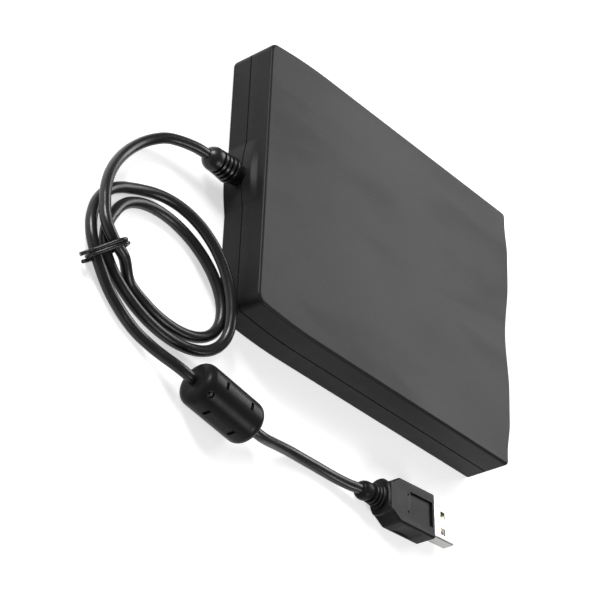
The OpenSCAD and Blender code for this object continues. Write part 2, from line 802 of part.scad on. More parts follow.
module spindle_bearing() {
    color("#c9a15a") translate([0, -spindle_y, z_deck]) difference() {
        cylinder(h = rotor_top - z_deck - 0.9, d = shaft_d + 5);
        translate([0, 0, -1]) cylinder(h = 6, d = shaft_d + 2 * bore_gap);
    }
}

module spindle_rotor() {
    color("#a4a8ab") translate([0, -spindle_y, 0]) rotate_extrude() polygon([
        [shaft_d / 2, rotor_top - 0.6], [rotor_r - 2, rotor_top - 0.6], [rotor_r - 2, z_board + 0.4],
        [rotor_r, z_board + 0.4], [rotor_r, rotor_top - 0.3], [rotor_r - 0.3, rotor_top],
        [shaft_d / 2, rotor_top]
    ]);
}

module spindle_hub() {
    color("#d9dcde") translate([0, -spindle_y, 0]) {
        translate([0, 0, z_deck - 0.2]) cylinder(h = slot_z - drop + 1.4 - z_deck, d = shaft_d);
        translate([0, 0, slot_z - drop + 1.1]) cylinder(h = 0.5, d1 = shaft_d, d2 = shaft_d - 1);
        difference() {
            translate([0, 0, rotor_top]) cylinder(h = 0.3, r = hub_r);
            for (a = [60, 180, 300]) rotate([0, 0, a]) translate([8, 0, rotor_top - 1]) cylinder(h = 2, r = 1.6);
        }
        translate([9.5, 0, rotor_top + 0.2]) cylinder(h = 1.2, r = 1);
    }
}

// ---------------------------------------------------------------- heads

module stepper_motor() {
    r = stepper_d / 2;
    color("#9a9da0") translate([lead_x, 0, lead_z]) difference() {
        union() {
            along_y(lead_y[1] + 0.2, rear_y - 3.2, r);
            block([-7, lead_y[1] + 0.2, -3], [7, lead_y[1] + 1, 3]);
            block([-3, lead_y[1] + 3, z_deck - lead_z], [3, chassis_y[1], 0]);
        }
        along_y(lead_y[1] - 1, lead_y[1] + 4.2, 1 + bore_gap);
    }
}

module lead_screw() {
    color("#d0d3d5") translate([lead_x, 0, lead_z]) {
        along_y(lead_y[0], lead_y[1] + 4, 1);
        along_y(lead_y[0] + 1.2, lead_y[1], lead_d / 2);
    }
}

module guide_rod() {
    color("#e0e2e4") translate([rod_x, 0, rod_z]) along_y(rod_front - 0.2, arm_y + 4.3, rod_d / 2);
}

module head_carriage() {
    back = arm_y + 2;
    color("#3a3d40") difference() {
        union() {
            block([rod_x - 2.6, carriage_front, rod_z - 1.9], [rod_x + 2.2, back, under_disk]);
            block([rod_x + 2, carriage_front, carriage_z], [9.6, arm_y - 1.6, under_disk]);
            block([-5, head_y - 3.2, z_board + 0.2], [5, carriage_front + 0.5, under_disk]);
            block([-9.6, arm_y - 2, carriage_z], [9.6, back, 9.5]);
            for (s = [0, 1]) mirror([s, 0, 0])
                block([arm_w / 2 + 0.2, arm_y - 2, 9], [9.6, back, arm_z + 1.6]);
            block([9, arm_y - 2, 7], [lead_x + 2.6, arm_y - 0.6, 10.4]);
        }
        translate([rod_x, 0, rod_z]) along_y(arm_y - 22, back + 1, rod_d / 2 + bore_gap);
        translate([lead_x, 0, lead_z]) along_y(arm_y - 3, back, lead_d / 2 + bore_gap);
        translate([0, arm_y, arm_z]) along_x(-11, 11, arm_pin_d / 2 + 0.01);
    }
}

module lower_head() {
    color("#e8e2d0") difference() {
        block([-2.4, head_y - 2.4, under_disk], [2.4, head_y + 2.4, slot_z - 0.6]);
        block([-3, head_y - 0.3, slot_z - 1], [3, head_y + 0.3, slot_z]);
    }
}

module upper_head_arm() {
    color("#bfc3c6") difference() {
        union() {
            block([-arm_w / 2, head_y + 12, arm_z + 0.5], [arm_w / 2, arm_y, arm_z + 1.4]);
            block([-4, head_y - 3, arm_z + 0.5], [4, head_y + 12.1, arm_z + 1.4]);
            translate([0, arm_y, arm_z]) along_x(-arm_w / 2, arm_w / 2, 1.4);
        }
        translate([0, arm_y, arm_z]) along_x(-arm_w, arm_w, arm_pin_d / 2 + bore_gap);
        translate([0, head_y + 17, arm_z - 1]) cylinder(h = 4, d = 5);
    }
}

module upper_head() {
    color("#e8e2d0")
        block([-2.4, head_y - 2.4, z_slot_top + 0.1], [2.4, head_y + 2.4, arm_z + 0.5]);
}

module arm_hinge_pin() {
    color("silver") translate([0, arm_y, arm_z]) along_x(-9.8, 9.8, arm_pin_d / 2);
}

// ---------------------------------------------------------------- boards

usb_hi = [-17, rear_y - 10];
usb_lo = [-46, usb_hi[1] - 18.5];

module usb_board() {
    color("#1f5a3a") difference() {
        block([usb_lo[0], usb_lo[1], z_deck], [usb_hi[0], usb_hi[1], z_board]);
        for (x = [usb_lo[0] + 3, usb_hi[0] - 3]) translate([x, usb_hi[1] - 2.5, z_deck - 1]) cylinder(h = 3, d = 2);
    }
}

module chip(x, y, w, l, h) {
    translate([x, y, z_board]) block([-w / 2, -l / 2, 0], [w / 2, l / 2, h]);
}

module board_chips() {
    color("#18181a") {
        chip(-34, usb_lo[1] + 9, 9, 9, 1.4);
        chip(-23, usb_lo[1] + 11, 4, 5, 1.2);
        chip(-42, usb_lo[1] + 14, 2.5, 5, 2.6);
        chip(-29, usb_hi[1] - 1.6, 7, 3, 2.6);
        chip(-26, usb_lo[1] + 1.6, 11, 2.4, 1.8);
        chip(-26, 6, 11, 2.4, 1.4);
        chip(-28, -38, 8, 8, 1.2);
        chip(25, -36, 6, 9, 1.2);
        chip(20, -48, 4, 3, 1);
        chip(-12, -49, 3, 5, 1.6);
    }
}

// Two feeler switches at the front corners of the board
module disk_switches() {
    color("#e9e9e2") for (s = [-1, 1]) translate([s * 36.5, -48, z_board]) {
        block([-2, -2.5, 0], [2, 2.5, under_disk - z_board - 0.6]);
        block([-0.6, -0.8, 0], [0.6, 0.8, under_disk - z_board]);
    }
}

// Flat ribbon from one board to the other, seen from the side
module ribbon() {
    t = 0.3;
    y = usb_lo[1];
    line = [[y + 0.4, 1.2], [y - 2.5, 1.2], [y - 5, 0.1], [12.5, 0.1], [9.8, 0.9], [7.2, 0.9]];
    color("#d9d2bd") translate([-31, 0, z_board]) rotate([90, 0, 90]) linear_extrude(10) polygon(concat(
        line, [for (i = [len(line) - 1:-1:0]) line[i] + [0, t]]
    ));
}

module inner_wires() {
    colors = ["#b03030", "#d8d8d8", "#2f7d3a", "#1a1a1a"];
    for (i = [0:3]) {
        o = 1.3 * i - 1.95;
        path = [[exit_x + o / 2, 6.6, exit_z], [o / 2 - 1.2, 5.2, exit_z], [o - 7, 4.1, 6.6],
            [o - 18, 3.1, 5.9], [o - 25.5, 2.5, 5.8], [o - 28.6, 1.3, 5.6], [o - 29, -0.1, 5.6]];
        color(colors[i]) translate([0, usb_hi[1], 0]) tube(path, 0.9, [0, -1, 0], [0, -1, 0], 6);
    }
}

// ---------------------------------------------------------------- cable

module cord_relief() {
    neck = wall + 1.2;
    ball_r = 0.43 * relief_d;
    ball_y = relief_len - ball_r + 0.2;
    step = 1.65;
    color("#1b1b1c") translate([exit_x, exit_y, exit_z]) rotate([-90, 0, 0]) {
        difference() {
            rotate_extrude() polygon(concat(
                [[0, 0], [neck_r, 0], [neck_r + 0.2, 1.6], [relief_d / 2 - 0.3, 3.3], [relief_d / 2, 3.8]],
                [for (a = [-10:20:50]) [ball_r * cos(a), ball_y + ball_r * sin(a)]],
                [[cord_d / 2 + 0.2, relief_len], [0, relief_len]]
            ));
            for (i = [1:4], s = [0, 180]) rotate([0, 0, 90 * i + s - 65])
                translate([0, 0, ball_y - 0.2 - step * i]) rotate_extrude(angle = 130)
                    translate([ball_r - 0.8, 0]) square([3, 0.7]);
        }
        translate([0, 0, -neck - bulge_out + 0.4]) cylinder(h = neck + bulge_out, r = neck_r);
        translate([0, 0, -neck - bulge_out - 0.6]) cylinder(h = 1, r = neck_r + 1.4);
    }
}

module cord_lead() {
    color("#161617") tube(lead_path, cord_d, [0, 1, 0], coil_in);
}

module cord_coil() {
    color("#161617") tube(coil_path, cord_d, coil_in, coil_out);
}

module cord_run() {
    color("#161617") tube(run_path, cord_d, coil_out, bead_dir);
}

module cord_tail() {
    color("#161617") tube(tail_path, cord_d, bead_dir, plug_dir);
}

module ferrite_bead() {
    r = bead_d / 2;
    e = 3.2;
    color("#1d1d1f") translate(bead_at) rotate([0, 0, bead_turn - 90]) difference() {
        rotate([0, 90, 0]) rotate_extrude() polygon(concat(
            [[0, 0]],
            [for (a = [0:15:90]) [r - e + e * sin(a), e * (1 - cos(a))]],
            [for (a = [90:-15:0]) [r - e + e * sin(a), bead_len - e * (1 - cos(a))]],
            [[0, bead_len]]
        ));
        for (a = [-2:90:268], s = [-5.6, 5.6]) rotate([a, 0, 0]) translate([bead_len / 2 + s, 0, 0])
            block([-0.6, -1.4, r - 0.7], [0.6, 1.4, r + 1]);
    }
}

module coil_tie() {
    last = len(tie_path) - 1;
    color("#101011") tube(tie_path, tie_d, unit(tie_path[1] - tie_path[0]),
        unit(tie_path[last] - tie_path[last - 1]), 8, tie_ahead);
}

// ---------------------------------------------------------------- plug

// The plug's own frame: +X towards its tip, origin where the cable enters
module plug_frame() {
    translate(plug_at) rotate([0, 0, plug_turn - 90]) children();
}

// Outline of the plug's housing seen from above, drawn in by d
function plug_outline(d) =
    let (
        w = plug_w / 2 - d,
        half = [[11.4 + d, 5.2 - d], [13.4, 5.5 - d], [17.4, w], [plug_len - 1.2 + d / 2, w],
            [plug_len - d, w - 0.9]]
    )
    concat([for (p = half) [p[0], -p[1]]], [for (i = [len(half) - 1:-1:0]) half[i]]);

module plug_body() {
    h = plug_h / 2;
    color("#1c1c1d") plug_frame() difference() {
        union() {
            loft([for (l = [[-h, 0.9], [-h + 0.9, 0], [h - 0.9, 0], [h, 0.9]])
                [for (p = plug_outline(l[1])) [p[0], p[1], l[0]]]]);
            rotate([0, 90, 0]) rotate_extrude() polygon(concat(
                [[0, 0], [2, 0]],
                [for (a = [120:-20:20]) [0.6 + 2.8 * sin(a - 30), 3 - 2.8 * cos(a - 30) * 1.05]],
                [[2.9, 6.6]],
                [for (i = [0:2], k = [0:3])
                    let (x = 6.8 + 1.6 * i, r = 3.5 + 0.15 * i)
                    [[r, x], [r, x + 0.8], [r - 0.6, x + 0.9], [r - 0.6, x + 1.5]][k]],
                [[0, 11.6]]
            ));
        }
        block([22, -4.6, h - 0.45], [plug_len - 1.4, 4.6, h + 1]);
        block([22, -4.6, -h - 1], [plug_len - 1.4, 4.6, -h + 0.45]);
        block([plug_len - shell_sunk, -shell_w / 2, -shell_h / 2], [plug_len + 1, shell_w / 2, shell_h / 2]);
    }
}

module plug_shell() {
    x0 = plug_len - shell_sunk;
    x1 = plug_len + shell_len;
    y = shell_w / 2;
    z = shell_h / 2;
    color("#d8dadb") plug_frame() difference() {
        block([x0, -y, -z], [x1, y, z]);
        block([x0 - 1, -y + shell_t, -z + shell_t], [x1 + 1, y - shell_t, z - shell_t]);
        for (s = [-1, 1]) block([plug_len + 5.2, s * 3 - 1.15, -z - 1], [plug_len + 7.6, s * 3 + 1.15, z + 1]);
    }
}

module plug_tongue() {
    y = shell_w / 2 - shell_t;
    z = shell_h / 2 - shell_t;
    color("white") plug_frame() {
        block([plug_len - shell_sunk, -y, -z], [plug_len + 1.5, y, z]);
        block([plug_len + 1.4, -y, -z], [plug_len + shell_len - 1, y, -z + 1.84]);
    }
}

module plug_contacts() {
    z = -shell_h / 2 + shell_t + 1.84;
    color("#d6b45a") plug_frame() for (i = [0:3]) {
        y = [-3.5, -1, 1, 3.5][i];
        l = [8.4, 7.4, 7.4, 8.4][i];
        block([plug_len + 1.5, y - 0.5, z], [plug_len + 1.5 + l, y + 0.5, z + 0.15]);
    }
}

// ---------------------------------------------------------------- output

top_cover();
bottom_cover();
front_bezel();
activity_light();
disk_door();
door_hinge_pin();
door_spring();
eject_button();
slide_plate();
foot(0);  // foot_1
foot(1);  // foot_2
foot(2);  // foot_3
foot(3);  // foot_4
case_screws();
chassis_screws();
chassis();
mechanism_cover();
disk_cradle();
motor_board();
stator_coils();
spindle_bearing();
spindle_rotor();
spindle_hub();
stepper_motor();
lead_screw();
guide_rod();
head_carriage();
lower_head();
upper_head_arm();
upper_head();
arm_hinge_pin();
usb_board();
board_chips();
disk_switches();
ribbon();
inner_wires();
cord_relief();
cord_lead();
cord_coil();
cord_run();
ferrite_bead();
cord_tail();
coil_tie();
plug_body();
plug_shell();
plug_tongue();
plug_contacts();
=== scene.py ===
"""External disk drive with a coiled cable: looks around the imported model."""

from math import cos, pi, radians, sin, sqrt

import bmesh
import bpy
from mathutils import Matrix, Vector


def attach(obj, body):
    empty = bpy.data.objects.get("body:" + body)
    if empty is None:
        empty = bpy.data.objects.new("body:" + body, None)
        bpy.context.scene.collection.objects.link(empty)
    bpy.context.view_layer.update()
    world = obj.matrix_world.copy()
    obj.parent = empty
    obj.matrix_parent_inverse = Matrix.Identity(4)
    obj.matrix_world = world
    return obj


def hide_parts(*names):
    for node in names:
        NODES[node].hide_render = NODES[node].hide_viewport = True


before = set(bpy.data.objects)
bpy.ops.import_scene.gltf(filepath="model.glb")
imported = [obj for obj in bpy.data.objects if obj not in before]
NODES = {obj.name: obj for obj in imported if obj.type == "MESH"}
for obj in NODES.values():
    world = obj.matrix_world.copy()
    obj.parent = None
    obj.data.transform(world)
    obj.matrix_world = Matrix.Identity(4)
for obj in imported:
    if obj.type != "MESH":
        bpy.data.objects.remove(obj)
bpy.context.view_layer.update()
MM = 0.001
SHARP = radians(32)  # an edge that turns by more than this stays sharp


def mm(*values):
    return Vector(values) * MM


# ------------------------------------------------------------------ camera

CAMERA_AT = mm(-386.577, 475.506, 391.216)
CAMERA_RIGHT = Vector((0.03633829, -0.639583, 0.76786269))
CAMERA_DOWN = Vector((-0.85343916, -0.41961954, -0.30912949))
FOCAL_PX = 2151.69
FRAME_PX = 600
SENSOR = 36


def make_camera():
    data = bpy.data.cameras.new("photo_camera")
    data.sensor_width = SENSOR
    data.lens = FOCAL_PX / FRAME_PX * SENSOR
    data.clip_start, data.clip_end = 0.01, 20
    right = CAMERA_RIGHT.normalized()
    up = -(CAMERA_DOWN - right * CAMERA_DOWN.dot(right)).normalized()
    back = right.cross(up)
    turn = Matrix((right, up, back)).transposed().to_4x4()
    camera = bpy.data.objects.new("photo_camera", data)
    camera.matrix_world = Matrix.Translation(CAMERA_AT) @ turn
    bpy.context.scene.collection.objects.link(camera)
    bpy.context.scene.camera = camera


make_camera()

# ------------------------------------------------------------------ sizes, in millimetres

BODY_W, BODY_D = 103, 131
Z_UNDER, Z_SEAM, Z_TOP = 0.5, 8.5, 17.5
Z_FLOOR, Z_ROOF = 2.0, 16.0
WALL, SEAM_GAP, EDGE_R = 1.5, 0.4, 1.0
REAR_R, FRONT_R = 3.5, 1.8
SWEEP_R, SWEEP_LEN = 180, 29.5
WAVE_OUT, WAVE_IN = 1.5, 0.55
WAVE_CREST, WAVE_FALL, WAVE_RUN = 22, 34, 13
BULGE_W, BULGE_OUT = 25, 1.5
FRONT_Y, REAR_Y = -BODY_D / 2, BODY_D / 2
EXIT_X, EXIT_Y, EXIT_Z = -0.5, REAR_Y + BULGE_OUT, 7
CORD_D, CORD_Z = 3.6, 1.8
RELIEF_LEN = 15
BEAD_AT, BEAD_TURN, BEAD_LEN, BEAD_R = (-80.6, 80.5, 7.2), -10.3, 26, 7.2
PLUG_AT, PLUG_TURN, PLUG_LEN = (-81.3, -0.5, 4), 3.4, 36
PLUG_W, PLUG_H = 15.8, 8
SHELL_LEN, SHELL_W, SHELL_H = 12, 12, 4.5

# Coil: two loops round a tilted ellipse
COIL_AT, COIL_A, COIL_B, COIL_TILT = (-45.2, 89.4), 25, 17.5, 74
COIL_FROM, COIL_TO, COIL_STEP = 70, 790, 12
PITCH, SPREAD, LAST = 4.25, 3.5, 3.2
TIE_TURN, TIE_AIM, TIE_LIFT, TIE_REACH = 36, 218, 1.8, 42
RISE_IN, RISE_OUT, LEAN = 2.8, 6.9, (-0.87, 1.03)
# Spans of the coil's angle: where a move starts and how long it takes ...
STEP_OUT, NEXT_STEP, END_STEP = (350, 56), (670, 80), (755, 50)
# ... and where a swell or a rise has its middle, and how far it reaches to each side
SWELL, RISE_IN_AT, RISE_OUT_AT = (615, 70), (198, 95), (568, 115)

LEAD_ROUTE = [
    (-0.5, 85, 6.9), (-0.7, 89, 6.3), (-1.2, 93, 5.5), (-2.2, 97, 4.6), (-4.1, 100.6, 3.6),
    (-6.6, 104, 2.7), (-9.9, 107.4, 2.2), (-14.2, 111, 2.1), (-19.4, 114.6, 2.7),
    (-25, 117.8, 3.8), (-30.8, 120.2, 5), (-35.7, 121.4, 5.9), (-40.1, 121.7, 6.5),
    (-44.2, 121.7, 7.1), (-47.8, 120.8, 7.6), (-50.6, 119, 7.9), (-52.4, 116.6, 7.7),
    (-53.3, 114, 7.1), (-53.9, 111.8, 6.2), (-54.6, 110, 5.1), (-55.4, 108.4, 4),
    (-56.3, 106.9, 3), (-57.2, 105.4, 2.3), (-58, 103.9, 1.9),
]
RUN_ROUTE = [
    (-70.4, 103.4, 1.8), (-72.2, 99.6, 1.9), (-73.7, 95.9, 2.4), (-75.4, 92.8, 3.5),
    (-77.1, 90.2, 5), (-78.5, 87.6, 6.3), (-79.6, 84.6, 7),
]
TAIL_ROUTE = [
    (-85.8, 51, 7), (-85.3, 46.5, 6), (-84.1, 41.6, 4.7), (-83, 36.7, 3.6), (-82, 31.2, 2.6),
    (-81.5, 24.6, 2), (-81.3, 18, 1.8), (-81.4, 12.2, 1.9), (-81.7, 7.2, 2.4), (-82, 3, 3.2),
]


def smooth(t):
    u = min(max(t, 0), 1)
    return u * u * (3 - 2 * u)


def hump(t):
    return 0.5 + 0.5 * cos(pi * t) if abs(t) < 1 else 0


def within(t, span):
    return (t - span[0]) / span[1]


# ------------------------------------------------------------------ cable


def coil_offset(t):
    """How far the cable lies outside the first loop, at an angle along the coil."""
    if t < sum(STEP_OUT):
        return PITCH * smooth(within(t, STEP_OUT))
    return (PITCH + SPREAD * hump(within(t, SWELL)) + PITCH * smooth(within(t, NEXT_STEP))
            + LAST * smooth(within(t, END_STEP)))


def coil_lift(t):
    """How far the tie, and the strands that it crosses, lift the cable off the floor."""
    tied = sum(hump((t - turn - TIE_TURN) / TIE_REACH) for turn in (360, 720))
    return (TIE_LIFT * tied + RISE_IN * hump(within(t, RISE_IN_AT))
            + RISE_OUT * hump(within(t, RISE_OUT_AT)))


def coil_point(t):
    a, lift = radians(t), coil_lift(t)
    out = Vector((COIL_B * cos(a), COIL_A * sin(a))).normalized()
    p = Vector((COIL_A * cos(a), COIL_B * sin(a))) + coil_offset(t) * out
    p = Matrix.Rotation(radians(COIL_TILT), 2) @ p
    return Vector((COIL_AT[0] + p.x + lift * LEAN[0], COIL_AT[1] + p.y + lift * LEAN[1],
                   CORD_Z + lift))


def along(start, turn, reach):
    """The point at a distance from a start, on a level heading."""
    a = radians(turn)
    return Vector(start) + reach * Vector((sin(a), -cos(a), 0))


def cable_points():
    """The cable's middle line: relief, coil, bead and plug's neck."""
    last = COIL_TO - 0.7 * COIL_STEP
    heading = (coil_point(last + 0.5) - coil_point(last - 0.5)).normalized()
    heading = Vector((heading.x, heading.y, 0)).normalized()
    points = [(EXIT_X, EXIT_Y + RELIEF_LEN - 1.5, EXIT_Z)] + LEAD_ROUTE
    points += [coil_point(t) for t in range(COIL_FROM + COIL_STEP, COIL_TO, COIL_STEP)]
    points += [coil_point(last) + CORD_D * heading] + RUN_ROUTE
    points += [along(BEAD_AT, BEAD_TURN, d) for d in (1, BEAD_LEN / 2, BEAD_LEN - 1)]
    points += TAIL_ROUTE
    points += [along(PLUG_AT, PLUG_TURN, d) - Vector((0.7, 0, 0)) for d in (0.6, 2.6)]
    return [Vector(p) * MM for p in points]


def show(obj):
    bpy.context.scene.collection.objects.link(obj)
    return obj


def wire(name, points, diameter, resolution=6):
    """A round wire on a smooth curve through its points."""
    data = bpy.data.curves.new(name, "CURVE")
    data.dimensions = "3D"
    data.bevel_depth, data.bevel_resolution = diameter / 2, 6
    data.resolution_u = resolution
    data.use_fill_caps = True
    spline = data.splines.new("BEZIER")
    spline.bezier_points.add(len(points) - 1)
    for knot, p in zip(spline.bezier_points, points):
        knot.co = p
        knot.handle_left_type = knot.handle_right_type = "AUTO"
    return show(bpy.data.objects.new(name, data))


CABLE_LINE = cable_points()
cable = wire("cable", CABLE_LINE, CORD_D * MM)

# ------------------------------------------------------------------ shader groups


def plug_in(tree, socket, value):
    """Links a socket to an output, or sets it to a constant."""
    if isinstance(value, bpy.types.NodeSocket):
        tree.links.new(value, socket)
    else:
        socket.default_value = value


def add(tree, kind, wires=None, **settings):
    made = tree.nodes.new("ShaderNode" + kind)
    for name, value in settings.items():
        setattr(made, name, value)
    for name, value in (wires or {}).items():
        plug_in(tree, made.inputs[name], value)
    return made


def new_group(name, inputs, outputs):
    tree = bpy.data.node_groups.new(name, "ShaderNodeTree")
    for label, value in inputs:
        socket = tree.interface.new_socket(label, in_out="INPUT", socket_type="NodeSocketFloat")
        socket.default_value = value
    for label in outputs:
        tree.interface.new_socket(label, in_out="OUTPUT", socket_type="NodeSocketFloat")
    return tree, tree.nodes.new("NodeGroupInput").outputs, tree.nodes.new("NodeGroupOutput").inputs


def math(tree, operation, a, b=0.0):
    made = tree.nodes.new("ShaderNodeMath")
    made.operation = operation
    for socket, value in zip(made.inputs, (a, b)):
        plug_in(tree, socket, value)
    return made.outputs[0]


def ramp(tree, value, low, high, to_low=0.0, to_high=1.0):
    return add(tree, "MapRange", {"Value": value, "From Min": low, "From Max": high,
                                  "To Min": to_low, "To Max": to_high}).outputs["Result"]


def moulded_grain():
    """Spark-eroded grain of a moulding tool, and the slow drift of gloss across a face."""
    tree, given, out = new_group("moulded_grain", [("Size", 2500), ("Drift", 30)],
                                 ["Height", "Drift"])
    place = add(tree, "TexCoord").outputs["Object"]
    fine = add(tree, "TexNoise", {"Vector": place, "Scale": given["Size"], "Detail": 3.0,
                                  "Roughness": 0.6})
    cells = add(tree, "TexVoronoi", {"Vector": place, "Scale": given["Size"]},
                feature="SMOOTH_F1")
    slow = add(tree, "TexNoise", {"Vector": place, "Scale": given["Drift"], "Detail": 4.0,
                                  "Roughness": 0.55, "Distortion": 0.4})
    height = math(tree, "ADD", fine.outputs["Fac"],
                  math(tree, "MULTIPLY", cells.outputs["Distance"], 0.5))
    tree.links.new(height, out["Height"])
    tree.links.new(ramp(tree, slow.outputs["Fac"], 0.3, 0.7), out["Drift"])
    return tree


def rubbed_edges():
    """Mask of edges that hands and tables have polished."""
    tree, given, out = new_group("rubbed_edges", [("Sharpness", 0.06), ("Breakup", 260)],
                                 ["Mask"])
    place = add(tree, "TexCoord").outputs["Object"]
    point = add(tree, "NewGeometry").outputs["Pointiness"]
    edge = add(tree, "MapRange", {"Value": point, "From Min": 0.5,
                                  "From Max": math(tree, "ADD", 0.5, given["Sharpness"])})
    patch = add(tree, "TexNoise", {"Vector": place, "Scale": given["Breakup"], "Detail": 3.0})
    broken = ramp(tree, patch.outputs["Fac"], 0.35, 0.65, 0.35, 1.0)
    tree.links.new(math(tree, "MULTIPLY", edge.outputs["Result"], broken), out["Mask"])
    return tree


def handling_marks():
    """Faint smears and settled dust, as on any handled housing."""
    tree, given, out = new_group("handling_marks", [("Size", 45), ("Dust", 1400)],
                                 ["Smear", "Dust"])
    place = add(tree, "TexCoord").outputs["Object"]
    stretched = add(tree, "Mapping", {"Vector": place, "Rotation": (0.2, 0.1, 0.7),
                                      "Scale": (1.0, 0.28, 1.0)}).outputs["Vector"]
    smear = add(tree, "TexNoise", {"Vector": stretched, "Scale": given["Size"], "Detail": 5.0,
                                   "Roughness": 0.65, "Distortion": 0.8})
    specks = add(tree, "TexNoise", {"Vector": place, "Scale": given["Dust"], "Detail": 1.0})
    tree.links.new(ramp(tree, smear.outputs["Fac"], 0.48, 0.72), out["Smear"])
    tree.links.new(ramp(tree, specks.outputs["Fac"], 0.66, 0.74), out["Dust"])
    return tree


def drawn_grain():
    """Fine lines that rolling or drawing leaves in metal, along the object's depth."""
    tree, given, out = new_group("drawn_grain", [("Lines", 900), ("Blotch", 120)],
                                 ["Height", "Blotch"])
    place = add(tree, "TexCoord").outputs["Object"]
    stretched = add(tree, "Mapping", {"Vector": place, "Scale": (1.0, 0.03, 1.0)})
    lines = add(tree, "TexNoise", {"Vector": stretched.outputs["Vector"], "Scale": given["Lines"],
                                   "Detail": 2.0})
    blotch = add(tree, "TexVoronoi", {"Vector": place, "Scale": given["Blotch"]}, feature="F1")
    tree.links.new(lines.outputs["Fac"], out["Height"])
    tree.links.new(blotch.outputs["Distance"], out["Blotch"])
    return tree


def board_traces():
    """Copper runs and pads that show through a board's lacquer."""
    tree, given, out = new_group("board_traces", [("Pitch", 420)], ["Trace", "Pad"])
    place = add(tree, "TexCoord").outputs["Object"]
    runs = add(tree, "TexBrick", {"Vector": place, "Scale": given["Pitch"], "Mortar Size": 0.06,
                                  "Mortar Smooth": 0.1, "Brick Width": 2.6, "Row Height": 0.5})
    pads = add(tree, "TexVoronoi", {"Vector": place, "Scale": given["Pitch"]}, feature="F1")
    tree.links.new(runs.outputs["Fac"], out["Trace"])
    tree.links.new(ramp(tree, pads.outputs["Distance"], 0.16, 0.12), out["Pad"])
    return tree


GRAIN, RUBBED, HANDLED = moulded_grain(), rubbed_edges(), handling_marks()
DRAWN, TRACES = drawn_grain(), board_traces()


def place_group(tree, group, **values):
    made = tree.nodes.new("ShaderNodeGroup")
    made.node_tree = group
    for name, value in values.items():
        made.inputs[name.title()].default_value = value
    return made.outputs


def mix_colour(tree, factor, a, b):
    made = tree.nodes.new("ShaderNodeMix")
    made.data_type = "RGBA"
    # A colour mix has its factor in socket 0, its two colours in 6 and 7 and its result in 2
    for index, value in ((0, factor), (6, a), (7, b)):
        plug_in(tree, made.inputs[index], value)
    return made.outputs[2]


def shade(colour, factor):
    """A colour made lighter or darker, with its alpha."""
    return tuple(min(c * factor, 1) for c in colour) + (1,)


def new_material(name):
    material = bpy.data.materials.new(name)
    material.use_nodes = True
    tree = material.node_tree
    return material, tree, tree.nodes["Principled BSDF"]


DUST = (0.3, 0.3, 0.29, 1)


def bump_with(tree, bsdf, height, depth):
    """Raises the surface by a height map, with a depth in millimetres."""
    bump = add(tree, "Bump", {"Height": height, "Strength": 1.0, "Distance": depth * MM})
    tree.links.new(bump.outputs["Normal"], bsdf.inputs["Normal"])


def plastic(name, colour, rough, grain=2500, depth=0.02, drift=30, worn=0.25, dust=0.0, spec=0.5):
    """Moulded plastic or rubber: grain, drift of gloss, rubbed edges, smears and dust."""
    material, tree, bsdf = new_material(name)
    moulded = place_group(tree, GRAIN, size=grain, drift=drift)
    edges = place_group(tree, RUBBED)
    marks = place_group(tree, HANDLED)
    base = mix_colour(tree, moulded["Drift"], shade(colour, 0.93), shade(colour, 1.07))
    base = mix_colour(tree, math(tree, "MULTIPLY", edges["Mask"], worn), base,
                      shade([c + 0.02 for c in colour], 1.9))
    base = mix_colour(tree, math(tree, "MULTIPLY", marks["Dust"], dust), base, DUST)
    tree.links.new(base, bsdf.inputs["Base Color"])
    gloss = math(tree, "ADD", ramp(tree, moulded["Drift"], 0, 1, rough - 0.03, rough + 0.03),
                 math(tree, "MULTIPLY", marks["Smear"], 0.05))
    gloss = math(tree, "SUBTRACT", gloss, math(tree, "MULTIPLY", edges["Mask"], 0.1))
    tree.links.new(gloss, bsdf.inputs["Roughness"])
    bump_with(tree, bsdf, moulded["Height"], depth)
    bsdf.inputs["Specular IOR Level"].default_value = spec
    return material


def metal(name, colour, rough, lines=900, depth=0.004, blotch=120, tarnish=0.25):
    """Sheet, drawn or turned metal: fine lines, blotches and rubbed edges."""
    material, tree, bsdf = new_material(name)
    drawn = place_group(tree, DRAWN, lines=lines, blotch=blotch)
    edges = place_group(tree, RUBBED)
    marks = place_group(tree, HANDLED)
    base = mix_colour(tree, math(tree, "MULTIPLY", drawn["Blotch"], tarnish), shade(colour, 1.05),
                      shade(colour, 0.72))
    base = mix_colour(tree, math(tree, "MULTIPLY", edges["Mask"], 0.4), base, shade(colour, 1.2))
    tree.links.new(base, bsdf.inputs["Base Color"])
    gloss = math(tree, "ADD", ramp(tree, drawn["Height"], 0.3, 0.7, rough - 0.05, rough + 0.06),
                 math(tree, "MULTIPLY", marks["Smear"], 0.08))
    tree.links.new(gloss, bsdf.inputs["Roughness"])
    bump_with(tree, bsdf, drawn["Height"], depth)
    bsdf.inputs["Metallic"].default_value = 1.0
    return material


LACQUER = [(0.012, 0.075, 0.035, 1), (0.02, 0.1, 0.05, 1)]
TRACE_GREEN, PAD_TIN = (0.04, 0.2, 0.09, 1), (0.62, 0.6, 0.5, 1)


def circuit_board(name):
    """Green lacquered board with its traces and tinned pads."""
    material, tree, bsdf = new_material(name)
    traces = place_group(tree, TRACES, pitch=420)
    moulded = place_group(tree, GRAIN, size=1500, drift=90)
    base = mix_colour(tree, moulded["Drift"], *LACQUER)
    base = mix_colour(tree, math(tree, "MULTIPLY", traces["Trace"], 0.6), base, TRACE_GREEN)
    base = mix_colour(tree, traces["Pad"], base, PAD_TIN)
    tree.links.new(base, bsdf.inputs["Base Color"])
    tree.links.new(ramp(tree, traces["Trace"], 0, 1, 0.34, 0.24), bsdf.inputs["Roughness"])
    tree.links.new(traces["Pad"], bsdf.inputs["Metallic"])
    bump_with(tree, bsdf, traces["Trace"], 0.03)
    return material


